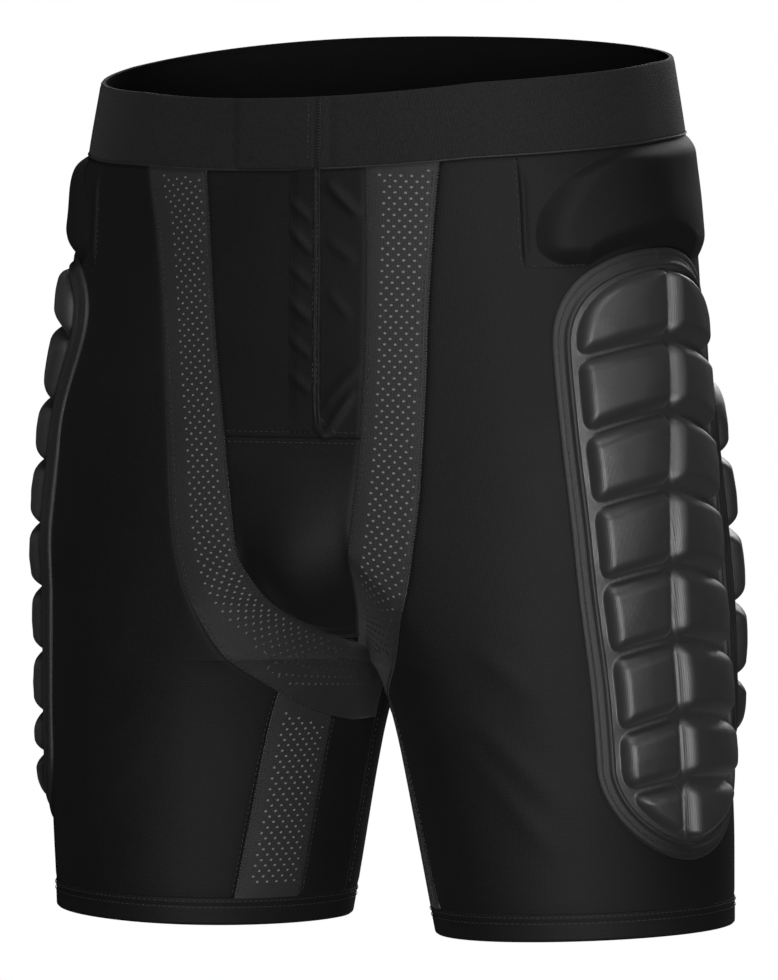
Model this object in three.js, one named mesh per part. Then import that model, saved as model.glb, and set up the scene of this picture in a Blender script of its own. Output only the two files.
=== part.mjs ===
// Padded protective shorts in their worn shape: a stretch shell of sewn panels
// with hip, thigh and seat pads. Millimetres, +Z up, front towards -Y.
// The origin is the middle of the waistband loop.
import * as THREE from 'three';
import { mergeVertices } from 'three/addons/utils/BufferGeometryUtils.js';

// Driving dimensions of the worn shape
const WAIST_WIDTH = 304;
const HIP_WIDTH = 369;
const FRONT_REACH = 109;
const BACK_REACH = 126;
const WAISTBAND_HEIGHT = 38;
const RISE = 263;
const LEG_LENGTH = 138;
const LEG_CENTRE = 109;
const HEM_HALF_WIDTH = 75;
const CROTCH_BACKSET = 12;
const FRONT_FORK_HEIGHT = 77;
const BACK_FORK_HEIGHT = 117;
const CROTCH_ROUND = 45;
const CROTCH_HALF_GAP = 7;
const SIDE_LIFT = 4.9;
const FRONT_TILT = 0.142;
const BACK_TILT = 0.107;
const BACK_BOW = 0.063;
const FRONT_DIP = 3.1;
const FRONT_DIP_HALF = 95;
const WAIST_TWIST = 0.0229;
const TILT_DEPTH = 169;
const HEM_ROLL = 0.035;
const HEM_ROLL_HEIGHT = 90;

// Cloth, seams and clearances
const WALL = 1.7;
const BAND_WALL = 2.4;
const BAND_PROUD = 0.6;
const SEAM_GAP = 0.35;
const LAYER_GAP = 0.5;
const PAD_CLEARANCE = 1.7;
const BORDER_CLEARANCE = 1.3;
const HEM_HEIGHT = 14;
const FRONT_SKEW = 5;

// Front pieces
const BAND_LAP_WIDTH = 51;
const LAP_EDGE = 17;
const LAP_THICKNESS = 1.2;
const FLY_WIDTH = 18;
const FLY_BOTTOM_GAP = 2;
const YOKE_DEPTH = 147;
const POUCH_BULGE = 7;
const MESH_STRIP_START = 41;
const MESH_STRIP_WIDTH = 38;

// Hip pad, sewn in a pocket below the waistband at each side
const HIP_PAD_FRONT = 98;
const HIP_PAD_BACK = 96;
const HIP_PAD_DEPTH = 60;
const HIP_PAD_THICKNESS = 6.6;
const HIP_PAD_REAR_THICKNESS = 3;
const HIP_PAD_BLEND = 40;
const HIP_PAD_BEVEL = 30;
const HIP_PAD_MARGIN = 1.6;
const HIP_PAD_SPACE = 2.2;

// Thigh pad and seat pad: rounded fields of foam blocks inside a stitched border
const THIGH_PAD_TOP = 52;
const THIGH_PAD_LENGTH = 310;
const THIGH_PAD_WIDTH = 122;
const THIGH_PAD_AXIS = 25;
const THIGH_PAD_TAPER = 0.1;
const SEAT_PAD_TOP = 108;
const SEAT_PAD_LENGTH = 210;
const SEAT_PAD_WIDTH = 100;
const SEAT_PAD_AXIS = -91;
const PAD_END = 50;
const BLOCK_HEIGHT = 7.2;
const GROOVE_HEIGHT = 1.7;
const GROOVE_HALF = 4.4;
const BLOCK_CROWN = 0.8;
const BORDER_WIDTH = 9;
const BORDER_HEIGHT = 3.2;

// The wearer's right side is turned: its hip pad's front edge sits further back,
// and its leg carries the other pads back lower down
const RIGHT_HIP_SETBACK = 17;
const RIGHT_TURN = 19;
const RIGHT_TURN_START = 66;
const RIGHT_TURN_RUN = 80;

// Worked out from the driving dimensions
const BAND_TOP = WAISTBAND_HEIGHT / 2;
const BAND_LOW = -WAISTBAND_HEIGHT / 2;
const CROTCH = BAND_LOW - RISE;
const HEM = CROTCH - LEG_LENGTH;
const HEM_SEAM = HEM + HEM_HEIGHT;
const INSEAM_X = LEG_CENTRE - HEM_HALF_WIDTH;

// Level counts -1 at the top edge, 0 at the waistband seam, 1 at the crotch and 2 at the hem.
function heightAt(level) {
  if (level < 0) return BAND_LOW - level * WAISTBAND_HEIGHT;
  if (level < 1) return BAND_LOW - level * RISE;
  return CROTCH - (level - 1) * LEG_LENGTH;
}

// Cross-sections of one half. frontX and backX are shares of LEG_CENTRE, frontY and sideY
// of FRONT_REACH, backY of BACK_REACH, and side runs from 0 at the waist's half width
// to 1 at the hip's. frontPower and backPower are superellipse exponents.
const SECTION_COLUMNS = [
  'level', 'frontX', 'frontY', 'side', 'sideY', 'backX', 'backY', 'frontPower', 'backPower',
];
const SECTION_TABLE = [
  [-1.000, 0.000, 0.982, 0.000, 0.037, 0.000, 0.825, 2.40, 2.30],
  [0.000, 0.000, 0.991, 0.215, 0.037, 0.000, 0.841, 2.45, 2.30],
  [0.194, 0.000, 0.991, 0.462, 0.055, 0.000, 0.897, 2.30, 2.20],
  [0.384, 0.000, 1.000, 0.615, 0.092, 0.000, 0.968, 2.35, 2.10],
  [0.574, 0.037, 1.000, 0.769, 0.128, 0.073, 1.000, 2.55, 2.10],
  [0.745, 0.220, 1.000, 0.892, 0.128, 0.385, 0.984, 2.50, 2.10],
  [0.897, 0.606, 0.954, 0.954, 0.092, 0.697, 0.921, 2.20, 2.05],
  [1.058, 0.807, 0.899, 1.000, 0.055, 0.844, 0.817, 2.10, 2.00],
  [1.348, 0.908, 0.844, 1.050, 0.028, 0.927, 0.750, 2.05, 2.00],
  [1.674, 0.963, 0.789, 1.090, 0.000, 0.972, 0.722, 2.00, 2.00],
  [2.000, 1.000, 0.734, 1.090, -0.018, 1.000, 0.706, 2.00, 2.00],
];

// Edges of the mesh stripe, as distances from the middle plane in shares of LEG_CENTRE
const STRIPE_INNER = [
  [0.000, 0.420], [0.194, 0.410], [0.365, 0.394], [0.490, 0.372], [0.601, 0.349],
  [0.711, 0.317], [0.810, 0.284], [0.871, 0.243], [0.905, 0.193], [0.928, 0.138],
  [0.954, 0.064], [0.975, 0.000],
];
const STRIPE_OUTER = [
  [0.000, 0.770], [0.141, 0.729], [0.308, 0.697], [0.468, 0.679], [0.582, 0.661],
  [0.684, 0.647], [0.764, 0.624], [0.844, 0.587], [0.916, 0.528], [0.989, 0.454],
  [1.109, 0.307], [1.196, 0.215], [1.260, 0.128],
];
const STRIPE_END = 1.25;
const SEAT_LINE_SHARE = 0.6;

// Levels that neighbouring panels share, so that their facets meet
const PANEL_LEVELS = [
  0, 0.118, 0.251, 0.403, 0.559, 0.688, 0.802, 0.878, 0.924, 0.954,
  0.977, 0.992, 1, 1.058, 1.13, 1.196, STRIPE_END, 1.4, 1.64,
];

const QUARTER_STEPS = 40;
const FORK_STEPS = 24;
const HANDLE = 0.55;
const BACK_HANDLE = 0.5;
const BACK_INSEAM_HANDLE = 0.42;
const WEB_BLEND = 20;
const NORMAL_STEP = 2;

const clamp = (value, low, high) => Math.min(high, Math.max(low, value));
const mix = (a, b, share) => a + (b - a) * share;
const smooth = (share) => {
  const t = clamp(share, 0, 1);
  return t * t * (3 - 2 * t);
};

// Smooth curve through [x, y] pairs that never overshoots them
function monotoneCurve(pairs) {
  const sorted = [...pairs].sort((a, b) => a[0] - b[0]);
  const slopes = sorted.slice(1).map((p, i) => (p[1] - sorted[i][1]) / (p[0] - sorted[i][0]));
  const tangents = sorted.map((_, i) => {
    if (i === 0) return slopes[0];
    if (i === slopes.length) return slopes[i - 1];
    const [before, after] = [slopes[i - 1], slopes[i]];
    return before * after > 0 ? (2 * before * after) / (before + after) : 0;
  });
  return (x) => {
    let i = 0;
    while (i < slopes.length - 1 && x > sorted[i + 1][0]) i += 1;
    const span = sorted[i + 1][0] - sorted[i][0];
    const t = clamp((x - sorted[i][0]) / span, 0, 1);
    const start = sorted[i][1] * (1 + 2 * t) + span * tangents[i] * t;
    const end = sorted[i + 1][1] * (3 - 2 * t) - span * tangents[i + 1] * (1 - t);
    return start * (1 - t) ** 2 + end * t * t;
  };
}

const sectionCurve = {};
SECTION_COLUMNS.slice(1).forEach((name, column) => {
  const pairs = SECTION_TABLE.map((row) => [heightAt(row[0]), row[column + 1]]);
  sectionCurve[name] = monotoneCurve(pairs);
});
const stripeEdge = {
  inner: monotoneCurve(STRIPE_INNER.map(([level, share]) => [heightAt(level), share * LEG_CENTRE])),
  outer: monotoneCurve(STRIPE_OUTER.map(([level, share]) => [heightAt(level), share * LEG_CENTRE])),
};

function quarter(start, end, power, alongX) {
  const points = [];
  for (let i = 0; i <= QUARTER_STEPS; i += 1) {
    const angle = (Math.PI / 2) * (i / QUARTER_STEPS);
    const c = Math.max(Math.cos(angle), 0) ** (2 / power);
    const s = Math.sin(angle) ** (2 / power);
    const x = alongX ? mix(start[0], end[0], s) : mix(end[0], start[0], c);
    const y = alongX ? mix(end[1], start[1], c) : mix(start[1], end[1], s);
    points.push([x, y]);
  }
  return points;
}

function forkCurve(start, startHandle, endHandle, end) {
  const curve = new THREE.CubicBezierCurve(
    new THREE.Vector2(...start),
    new THREE.Vector2(start[0] + startHandle[0], start[1] + startHandle[1]),
    new THREE.Vector2(end[0] + endHandle[0], end[1] + endHandle[1]),
    new THREE.Vector2(...end),
  );
  return curve.getPoints(FORK_STEPS).map((p) => [p.x, p.y]);
}

// Above the crotch the cloth spans the two legs' lobes: a smooth web that moves from the
// crotch out to the front or back plane as the height rises. hand is -1 in front, 1 behind.
function webbed(lobe, plane, rise, hand) {
  if (rise <= 0) return lobe;
  const share = Math.sqrt(1 - (1 - Math.min(rise, 1)) ** 2);
  const web = mix(CROTCH_BACKSET, plane, share);
  const blend = Math.min(WEB_BLEND, Math.abs(plane - web));
  return lobe.map(([x, y]) => {
    const reach = Math.max(y * hand, web * hand);
    const near = Math.max(blend - Math.abs(y - web), 0);
    return [x, hand * (reach + (blend > 0 ? (near * near) / (4 * blend) : 0))];
  });
}

function measured(points) {
  const run = [0];
  for (let i = 1; i < points.length; i += 1) {
    const [dx, dy] = [points[i][0] - points[i - 1][0], points[i][1] - points[i - 1][1]];
    run.push(run[i - 1] + Math.hypot(dx, dy));
  }
  return { points, run, length: run[run.length - 1] };
}

// One half section at a height: its front and back runs, each from the side point inwards
const sectionCache = new Map();
function section(h) {
  const key = h.toFixed(4);
  if (sectionCache.has(key)) return sectionCache.get(key);
  const value = Object.fromEntries(Object.entries(sectionCurve).map(([name, curve]) => [name, curve(h)]));
  const front = [value.frontX * LEG_CENTRE, -value.frontY * FRONT_REACH];
  const back = [value.backX * LEG_CENTRE, value.backY * BACK_REACH];
  const side = [mix(WAIST_WIDTH, HIP_WIDTH, value.side) / 2, -value.sideY * FRONT_REACH];
  const below = Math.max(CROTCH - h, 0);
  const drop = Math.min(below / CROTCH_ROUND, 1);
  const parting = CROTCH_HALF_GAP * Math.sqrt(drop * (2 - drop));
  const inner = [parting + (INSEAM_X - CROTCH_HALF_GAP) * (below / LEG_LENGTH), CROTCH_BACKSET];
  const frontHandles = [[-HANDLE * (front[0] - inner[0]), 0], [0, HANDLE * (front[1] - inner[1])]];
  const backHandles = [
    [-BACK_HANDLE * (back[0] - inner[0]), 0],
    [0, BACK_INSEAM_HANDLE * (back[1] - inner[1])],
  ];
  const frontLobe = forkCurve(front, ...frontHandles, inner);
  const backLobe = forkCurve(back, ...backHandles, inner);
  const frontFork = webbed(frontLobe, front[1], (h - CROTCH) / FRONT_FORK_HEIGHT, -1);
  const backFork = webbed(backLobe, back[1], (h - CROTCH) / BACK_FORK_HEIGHT, 1);
  const frontQuarter = quarter(front, side, value.frontPower, true).reverse();
  const backQuarter = quarter(side, back, value.backPower, false);
  const result = {
    front: measured([...frontQuarter, ...frontFork.slice(1)]),
    back: measured([...backQuarter, ...backFork.slice(1)]),
  };
  sectionCache.set(key, result);
  return result;
}

function along(line, distance) {
  const d = clamp(distance, 0, line.length);
  let i = 1;
  while (i < line.run.length - 1 && line.run[i] < d) i += 1;
  const span = line.run[i] - line.run[i - 1];
  const t = span > 0 ? (d - line.run[i - 1]) / span : 0;
  return [mix(line.points[i - 1][0], line.points[i][0], t), mix(line.points[i - 1][1], line.points[i][1], t)];
}

// Plan point at height h, at girth distance g from the side point: positive round the front,
// negative round the back, and on past the inseam or the middle plane.
function planPoint(h, g) {
  const { front, back } = section(h);
  const [near, far] = g >= 0 ? [front, back] : [back, front];
  const distance = Math.abs(g);
  if (distance <= near.length) return along(near, distance);
  if (h < CROTCH) return along(far, far.length - (distance - near.length));
  const [x, y] = along(near, 2 * near.length - distance);
  return [-x, y];
}

// How much of the waistband's tilt reaches a height
const leanAt = (height) => smooth((height - BAND_TOP + TILT_DEPTH) / TILT_DEPTH);

// The waistband rises from front to back, and its front dips in the middle.
function waistRise(x, y) {
  if (y > 0) return SIDE_LIFT + BACK_TILT * y + (BACK_BOW * y * y) / BACK_REACH;
  return SIDE_LIFT + FRONT_TILT * y - FRONT_DIP * clamp(1 - (x / FRONT_DIP_HALF) ** 2, 0, 1);
}

function bodyPoint(h, g) {
  const [x, y] = planPoint(h, g);
  const roll = HEM_ROLL * clamp((HEM - h) / HEM_ROLL_HEIGHT + 1, 0, 1);
  return new THREE.Vector3(x, y, h + leanAt(h) * waistRise(x, y) + roll * (Math.abs(x) - LEG_CENTRE));
}

function bodyNormal(h, g) {
  const across = bodyPoint(h, g + NORMAL_STEP).sub(bodyPoint(h, g - NORMAL_STEP));
  const down = bodyPoint(h - NORMAL_STEP, g).sub(bodyPoint(h + NORMAL_STEP, g));
  return across.cross(down).normalize();
}

const frontLength = (h) => section(h).front.length;
const backLength = (h) => section(h).back.length;

// Girth distance at which the front run (hand 1) or back run (hand -1) passes
// the given distance from the middle plane
function girthAtX(h, x, hand = 1) {
  let low = 0;
  let high = hand > 0 ? frontLength(h) : backLength(h);
  for (let i = 0; i < 40; i += 1) {
    const middle = (low + high) / 2;
    if (planPoint(h, hand * middle)[0] > x) low = middle;
    else high = middle;
  }
  return (hand * (low + high)) / 2;
}

// Point at the given height above the body surface, on the other half where flip is true
function raisedPoint(h, g, height, flip = false) {
  const point = bodyPoint(h, g).addScaledVector(bodyNormal(h, g), height);
  if (flip) point.x *= -1;
  return point;
}

// A closed solid over a grid of body coordinates. place(i, j) gives { h, g } and the
// heights outer and inner of the two faces above the body surface.
function clothSolid(rows, columns, place, loop = false) {
  const positions = [];
  const faces = [];
  const stride = loop ? columns : columns + 1;
  for (let i = 0; i <= rows; i += 1) {
    for (let j = 0; j < stride; j += 1) {
      const { h, g, outer, inner, flip } = place(i, j);
      positions.push(raisedPoint(h, g, outer, flip), raisedPoint(h, g, inner, flip));
    }
  }
  const vertex = (i, j, face) => 2 * (i * stride + (loop ? j % columns : j)) + face;
  const quad = (a, b, c, d) => faces.push(a, b, c, a, c, d);
  for (let i = 0; i < rows; i += 1) {
    for (let j = 0; j < columns; j += 1) {
      quad(vertex(i, j, 0), vertex(i, j + 1, 0), vertex(i + 1, j + 1, 0), vertex(i + 1, j, 0));
      quad(vertex(i, j, 1), vertex(i + 1, j, 1), vertex(i + 1, j + 1, 1), vertex(i, j + 1, 1));
    }
  }
  for (let j = 0; j < columns; j += 1) {
    quad(vertex(0, j, 0), vertex(0, j, 1), vertex(0, j + 1, 1), vertex(0, j + 1, 0));
    quad(vertex(rows, j, 0), vertex(rows, j + 1, 0), vertex(rows, j + 1, 1), vertex(rows, j, 1));
  }
  for (let i = 0; i < rows && !loop; i += 1) {
    quad(vertex(i, 0, 0), vertex(i + 1, 0, 0), vertex(i + 1, 0, 1), vertex(i, 0, 1));
    quad(vertex(i, columns, 0), vertex(i, columns, 1), vertex(i + 1, columns, 1), vertex(i + 1, columns, 0));
  }
  return closedGeometry(positions, faces);
}

// A closed ring whose section has the corners that place(corner, j) gives, at each of its stations
function ringSolid(corners, stations, place) {
  const positions = [];
  const faces = [];
  for (let i = 0; i < corners; i += 1) {
    for (let j = 0; j < stations; j += 1) {
      const { h, g, height } = place(i, j);
      positions.push(raisedPoint(h, g, height));
    }
  }
  const vertex = (i, j) => (i % corners) * stations + (j % stations);
  for (let i = 0; i < corners; i += 1) {
    for (let j = 0; j < stations; j += 1) {
      const [a, b, c, d] = [vertex(i, j), vertex(i, j + 1), vertex(i + 1, j + 1), vertex(i + 1, j)];
      faces.push(a, b, c, a, c, d);
    }
  }
  return closedGeometry(positions, faces);
}

function closedGeometry(positions, faces) {
  let geometry = new THREE.BufferGeometry();
  const coordinates = positions.flatMap((p) => p.toArray());
  geometry.setAttribute('position', new THREE.Float32BufferAttribute(coordinates, 3));
  geometry.setIndex(faces);
  geometry = mergeVertices(geometry, 1e-3);
  const index = [...geometry.index.array];
  const kept = [];
  let volume = 0;
  const [a, b, c] = [new THREE.Vector3(), new THREE.Vector3(), new THREE.Vector3()];
  for (let i = 0; i < index.length; i += 3) {
    const [p, q, r] = index.slice(i, i + 3);
    if (p === q || q === r || r === p) continue;
    kept.push(p, q, r);
    a.fromBufferAttribute(geometry.attributes.position, p);
    b.fromBufferAttribute(geometry.attributes.position, q);
    c.fromBufferAttribute(geometry.attributes.position, r);
    volume += a.dot(b.cross(c)) / 6;
  }
  if (volume < 0) kept.reverse();
  geometry.setIndex(kept);
  geometry.computeVertexNormals();
  return geometry;
}

function mirrored(geometry) {
  const copy = geometry.clone();
  copy.scale(-1, 1, 1);
  copy.setIndex([...copy.index.array].reverse());
  copy.computeVertexNormals();
  return copy;
}

const finishes = {
  knit: new THREE.MeshStandardMaterial({ color: 0x17181a, roughness: 0.86, metalness: 0 }),
  elastic: new THREE.MeshStandardMaterial({ color: 0x1f2022, roughness: 0.9, metalness: 0 }),
  mesh: new THREE.MeshStandardMaterial({ color: 0x2a2b2d, roughness: 0.8, metalness: 0 }),
  foam: new THREE.MeshStandardMaterial({ color: 0x232425, roughness: 0.6, metalness: 0 }),
  binding: new THREE.MeshStandardMaterial({ color: 0x1b1c1d, roughness: 0.75, metalness: 0 }),
};

// Worn, the waistband sits a little askew: one front corner and the other back corner are higher.
function twisted(geometry) {
  const place = geometry.attributes.position;
  for (let i = 0; i < place.count; i += 1) {
    const [x, y, z] = [place.getX(i), place.getY(i), place.getZ(i)];
    place.setZ(i, z - (leanAt(z) * WAIST_TWIST * x * y) / FRONT_REACH);
  }
  geometry.computeVertexNormals();
  return geometry;
}

const shorts = new THREE.Group();
function addPiece(name, shape, finish) {
  const geometry = twisted(shape);
  const piece = new THREE.Mesh(geometry, finishes[finish]);
  piece.name = name;
  shorts.add(piece);
}

// The wearer's left is side 1. A side's geometry is built at +X and mirrored for the right.
const SIDES = [['left', 1], ['right', -1]];
function addPair(name, build, finish) {
  SIDES.forEach(([label, side]) => {
    const geometry = build(side);
    addPiece(`${name}_${label}`, side > 0 ? geometry : mirrored(geometry), finish);
  });
}

// The closing lap pulls the front pieces towards the wearer's right, fading down the front.
const skew = (h) => FRONT_SKEW * clamp(1 - (BAND_LOW - h) / YOKE_DEPTH, 0, 1);
const stripeInner = (h, side) => {
  const x = stripeEdge.inner(h) - side * skew(h);
  return x > 0 ? girthAtX(h, x) : frontLength(h);
};
const stripeOuter = (h, side) => girthAtX(h, stripeEdge.outer(h) - side * skew(h));
const meshStripFront = (h) => frontLength(h) - MESH_STRIP_START - MESH_STRIP_WIDTH;

// Height at which the stripe's outer edge is the given distance from the front inseam
function stripeEdgeHeight(distance, side) {
  let high = CROTCH;
  let low = heightAt(STRIPE_END);
  for (let i = 0; i < 30; i += 1) {
    const middle = (low + high) / 2;
    if (frontLength(middle) - stripeOuter(middle, side) > distance) high = middle;
    else low = middle;
  }
  return (low + high) / 2;
}

const cloth = { outer: 0, inner: -WALL };
const panelHeights = PANEL_LEVELS.map(heightAt);
panelHeights[0] = BAND_LOW - SEAM_GAP;
const yokeSeam = BAND_LOW - YOKE_DEPTH;

function waistband() {
  const [rows, columns] = [2, 48];
  return clothSolid(rows, columns, (i, j) => {
    const h = mix(BAND_TOP, BAND_LOW, i / rows);
    const turn = 1 - (2 * j) / columns;
    const g = frontLength(h) - (1 - Math.abs(turn)) * (frontLength(h) + backLength(h));
    return { h, g, outer: BAND_PROUD, inner: BAND_PROUD - BAND_WALL, flip: turn < 0 };
  }, true);
}

// Pieces on the front are placed by their distance from the middle plane, the wearer's left positive.
const frontGirth = (h, distance) => frontLength(h) - distance;

function waistbandLap() {
  const bottom = BAND_PROUD + SEAM_GAP;
  const [rows, columns] = [2, 5];
  return clothSolid(rows, columns, (i, j) => {
    const h = mix(BAND_TOP - SEAM_GAP, BAND_LOW + SEAM_GAP, i / rows);
    const distance = mix(LAP_EDGE, LAP_EDGE - BAND_LAP_WIDTH, j / columns);
    return { h, g: frontGirth(h, distance), outer: bottom + LAP_THICKNESS, inner: bottom };
  });
}

// Signed distance from the middle plane to a front panel's left or right edge
function panelEdge(h, side) {
  const run = frontLength(h) - stripeInner(h, side);
  return side * Math.max(run - SEAM_GAP, SEAM_GAP);
}

function frontRows(from, to) {
  const between = panelHeights.filter((h) => h < from - SEAM_GAP && h > to + SEAM_GAP);
  return [from, ...between, to];
}

function frontPanel() {
  const heights = frontRows(panelHeights[0], yokeSeam + SEAM_GAP);
  const columns = 10;
  return clothSolid(heights.length - 1, columns, (i, j) => {
    const h = heights[i];
    const distance = mix(panelEdge(h, 1), panelEdge(h, -1), j / columns);
    return { h, g: frontGirth(h, distance), ...cloth };
  });
}

function flyFlap() {
  const heights = frontRows(panelHeights[0], yokeSeam + SEAM_GAP + FLY_BOTTOM_GAP);
  const columns = 3;
  return clothSolid(heights.length - 1, columns, (i, j) => {
    const h = heights[i];
    const distance = mix(LAP_EDGE, LAP_EDGE - FLY_WIDTH, j / columns);
    return { h, g: frontGirth(h, distance), outer: LAYER_GAP + LAP_THICKNESS, inner: LAYER_GAP };
  });
}

function pouchPanel() {
  const tip = heightAt(0.96);
  const heights = frontRows(yokeSeam - SEAM_GAP, tip);
  const columns = 12;
  return clothSolid(heights.length - 1, columns, (i, j) => {
    const h = heights[i];
    const across = j / columns;
    const distance = mix(panelEdge(h, 1), panelEdge(h, -1), across);
    const down = (yokeSeam - h) / (yokeSeam - tip);
    const bulge = POUCH_BULGE * Math.sin(Math.PI * across) * Math.sin(Math.PI * clamp(down, 0, 1) ** 0.9);
    return { h, g: frontGirth(h, distance), outer: bulge, inner: bulge - WALL };
  });
}

function meshStripe(side) {
  const heights = panelHeights.filter((h) => h > heightAt(STRIPE_END) - SEAM_GAP);
  const columns = 3;
  return clothSolid(heights.length - 1, columns, (i, j) => {
    const h = heights[i];
    const inner = h < heightAt(0.97) ? frontLength(h) : stripeInner(h, side);
    const from = inner - SEAM_GAP;
    const to = Math.min(stripeOuter(h, side) + SEAM_GAP, from - 4 * SEAM_GAP);
    return { h, g: mix(from, to, j / columns), ...cloth };
  });
}

function innerThighMesh(side) {
  const [rows, columns] = [6, 3];
  return clothSolid(rows, columns, (i, j) => {
    const across = j / columns;
    const distance = mix(MESH_STRIP_START + SEAM_GAP, MESH_STRIP_START + MESH_STRIP_WIDTH - SEAM_GAP, across);
    const top = stripeEdgeHeight(distance, side) - 2 * SEAM_GAP;
    const h = mix(top, HEM_SEAM + SEAM_GAP, i / rows);
    return { h, g: frontLength(h) - distance, ...cloth };
  });
}

function innerLegPanel(side) {
  const [rows, columns] = [6, 3];
  return clothSolid(rows, columns, (i, j) => {
    const distance = mix(SEAM_GAP, MESH_STRIP_START - SEAM_GAP, j / columns);
    const top = stripeEdgeHeight(distance, side) - 2 * SEAM_GAP;
    const h = mix(top, HEM_SEAM + SEAM_GAP, i / rows);
    return { h, g: frontLength(h) - distance, ...cloth };
  });
}

// Height rows that the leg and seat panels share, and the seam line between the two
const legRows = [...panelHeights, HEM_SEAM + SEAM_GAP];
const seatLine = (h) => girthAtX(h, SEAT_LINE_SHARE * LEG_CENTRE, -1);

// The leg panel runs from the stripe or the mesh strip round the side to the seat seam.
function legPanel(side) {
  const columns = 13;
  return clothSolid(legRows.length - 1, columns, (i, j) => {
    const h = legRows[i];
    const stripe = stripeOuter(h, side);
    const beside = h < CROTCH ? Math.min(meshStripFront(h), stripe) : stripe;
    return { h, g: mix(beside - SEAM_GAP, seatLine(h) + SEAM_GAP, j / columns), ...cloth };
  });
}

// The seat panel runs on from there to the back middle or the inseam.
function seatPanel() {
  const columns = 5;
  return clothSolid(legRows.length - 1, columns, (i, j) => {
    const h = legRows[i];
    return { h, g: mix(seatLine(h) - SEAM_GAP, SEAM_GAP - backLength(h), j / columns), ...cloth };
  });
}

function hemBand() {
  const columns = 30;
  return clothSolid(1, columns, (i, j) => {
    const h = mix(HEM_SEAM, HEM, i);
    const front = frontLength(h);
    const g = front - (j / columns) * (front + backLength(h));
    return { h, g, outer: SEAM_GAP, inner: SEAM_GAP - BAND_WALL };
  }, true);
}

// Outline of a rounded pad, as a family of nested curves. drop runs from 0 at its top
// to 1 at its bottom, and inset moves the whole outline inwards.
function padOutline(pad, inset) {
  const top = BAND_LOW - pad.top - inset;
  const length = pad.length - 2 * inset;
  const end = pad.end - inset;
  const half = (drop) => {
    const fromTop = drop * length;
    const fromBottom = length - fromTop;
    const full = (pad.width / 2) * (1 - pad.taper * smooth(drop)) - inset;
    const topShare = (1 - clamp(1 - fromTop / end, 0, 1) ** pad.topPower) ** (1 / pad.topPower);
    const bottomShare = (1 - clamp(1 - fromBottom / end, 0, 1) ** pad.bottomPower) ** (1 / pad.bottomPower);
    return full * Math.min(topShare, bottomShare);
  };
  return { height: (drop) => top - drop * length, half, length };
}

const thighPad = {
  top: THIGH_PAD_TOP,
  length: THIGH_PAD_LENGTH,
  width: THIGH_PAD_WIDTH,
  axis: THIGH_PAD_AXIS,
  taper: THIGH_PAD_TAPER,
  end: PAD_END,
  topPower: 2.3,
  bottomPower: 1.8,
  rowShares: [1.09, 1, 1, 1, 1, 1, 1, 0.83],
  grooveShare: [-0.08, 0.11],
};
const seatPad = {
  top: SEAT_PAD_TOP,
  length: SEAT_PAD_LENGTH,
  width: SEAT_PAD_WIDTH,
  axis: SEAT_PAD_AXIS,
  taper: 0,
  end: PAD_END,
  topPower: 2.2,
  bottomPower: 2.2,
  rowShares: [1, 1, 1, 1, 1],
  grooveShare: [0, 0],
};

// Drops at which a pad's rows of blocks begin, and the last one's end
function rowEdges(pad) {
  const total = pad.rowShares.reduce((sum, share) => sum + share, 0);
  const edges = [0];
  pad.rowShares.forEach((share) => edges.push(edges[edges.length - 1] + share / total));
  return edges;
}

// How far back a pad is carried by the turned leg at a height
function padTurn(h, side) {
  return side < 0 ? RIGHT_TURN * smooth((BAND_LOW - h - RIGHT_TURN_START) / RIGHT_TURN_RUN) : 0;
}

const TIP = 0.012;
const inTips = (drop) => mix(TIP, 1 - TIP, drop);

// Four grid steps to a block: up its flank, over its crown and down again
function blockSteps(edges, groove) {
  const steps = [{ at: edges[0], share: 0 }];
  for (let k = 1; k < edges.length; k += 1) {
    const [from, to] = [edges[k - 1], edges[k]];
    steps.push({ at: from + groove, share: 1 }, { at: (from + to) / 2, share: 2 });
    steps.push({ at: to - groove, share: 1 }, { at: to, share: 0 });
  }
  return steps;
}

function blockHeight(a, b) {
  if (a === 0 || b === 0) return GROOVE_HEIGHT;
  return BLOCK_HEIGHT + (BLOCK_CROWN * (a + b - 2)) / 2;
}

function padBlocks(pad, side) {
  const outline = padOutline(pad, BORDER_WIDTH + LAYER_GAP);
  const down = blockSteps(rowEdges(pad), GROOVE_HALF / outline.length);
  return clothSolid(down.length - 1, 8, (i, j) => {
    const drop = inTips(down[i].at);
    const h = outline.height(drop);
    const half = outline.half(drop);
    const groove = mix(...pad.grooveShare, drop);
    const flank = Math.min(GROOVE_HALF / half, 0.3);
    const across = blockSteps([-1, groove, 1], flank)[j];
    const height = blockHeight(down[i].share, across.share);
    const g = pad.axis - padTurn(h, side) + half * across.at;
    return { h, g, outer: PAD_CLEARANCE + height, inner: PAD_CLEARANCE };
  });
}

// The border is a loop of flat section between two nested outlines. Its stations are the rows
// of the blocks it surrounds: all of them round the ends, and grooves and crowns between.
function padBorder(pad, side) {
  const outer = padOutline(pad, 0);
  const inner = padOutline(pad, BORDER_WIDTH);
  const endShare = pad.end / pad.length;
  const rows = blockSteps(rowEdges(pad), GROOVE_HALF / inner.length);
  const kept = rows.filter(({ at, share }) => share !== 1 || Math.min(at, 1 - at) < endShare);
  const run = kept.map(({ at }) => inTips(at));
  const down = [0, ...run, 1].map((drop) => [drop, 1]);
  const up = [...run].reverse().map((drop) => [drop, -1]);
  const loop = [...down, ...up];
  const corners = [[outer, 0], [outer, BORDER_HEIGHT], [inner, BORDER_HEIGHT], [inner, 0]];
  return ringSolid(corners.length, loop.length, (i, j) => {
    const [outline, rise] = corners[i];
    const [drop, hand] = loop[j];
    const h = outline.height(drop);
    const g = pad.axis - padTurn(h, side) + hand * outline.half(drop);
    return { h, g, height: BORDER_CLEARANCE + rise };
  });
}

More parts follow.
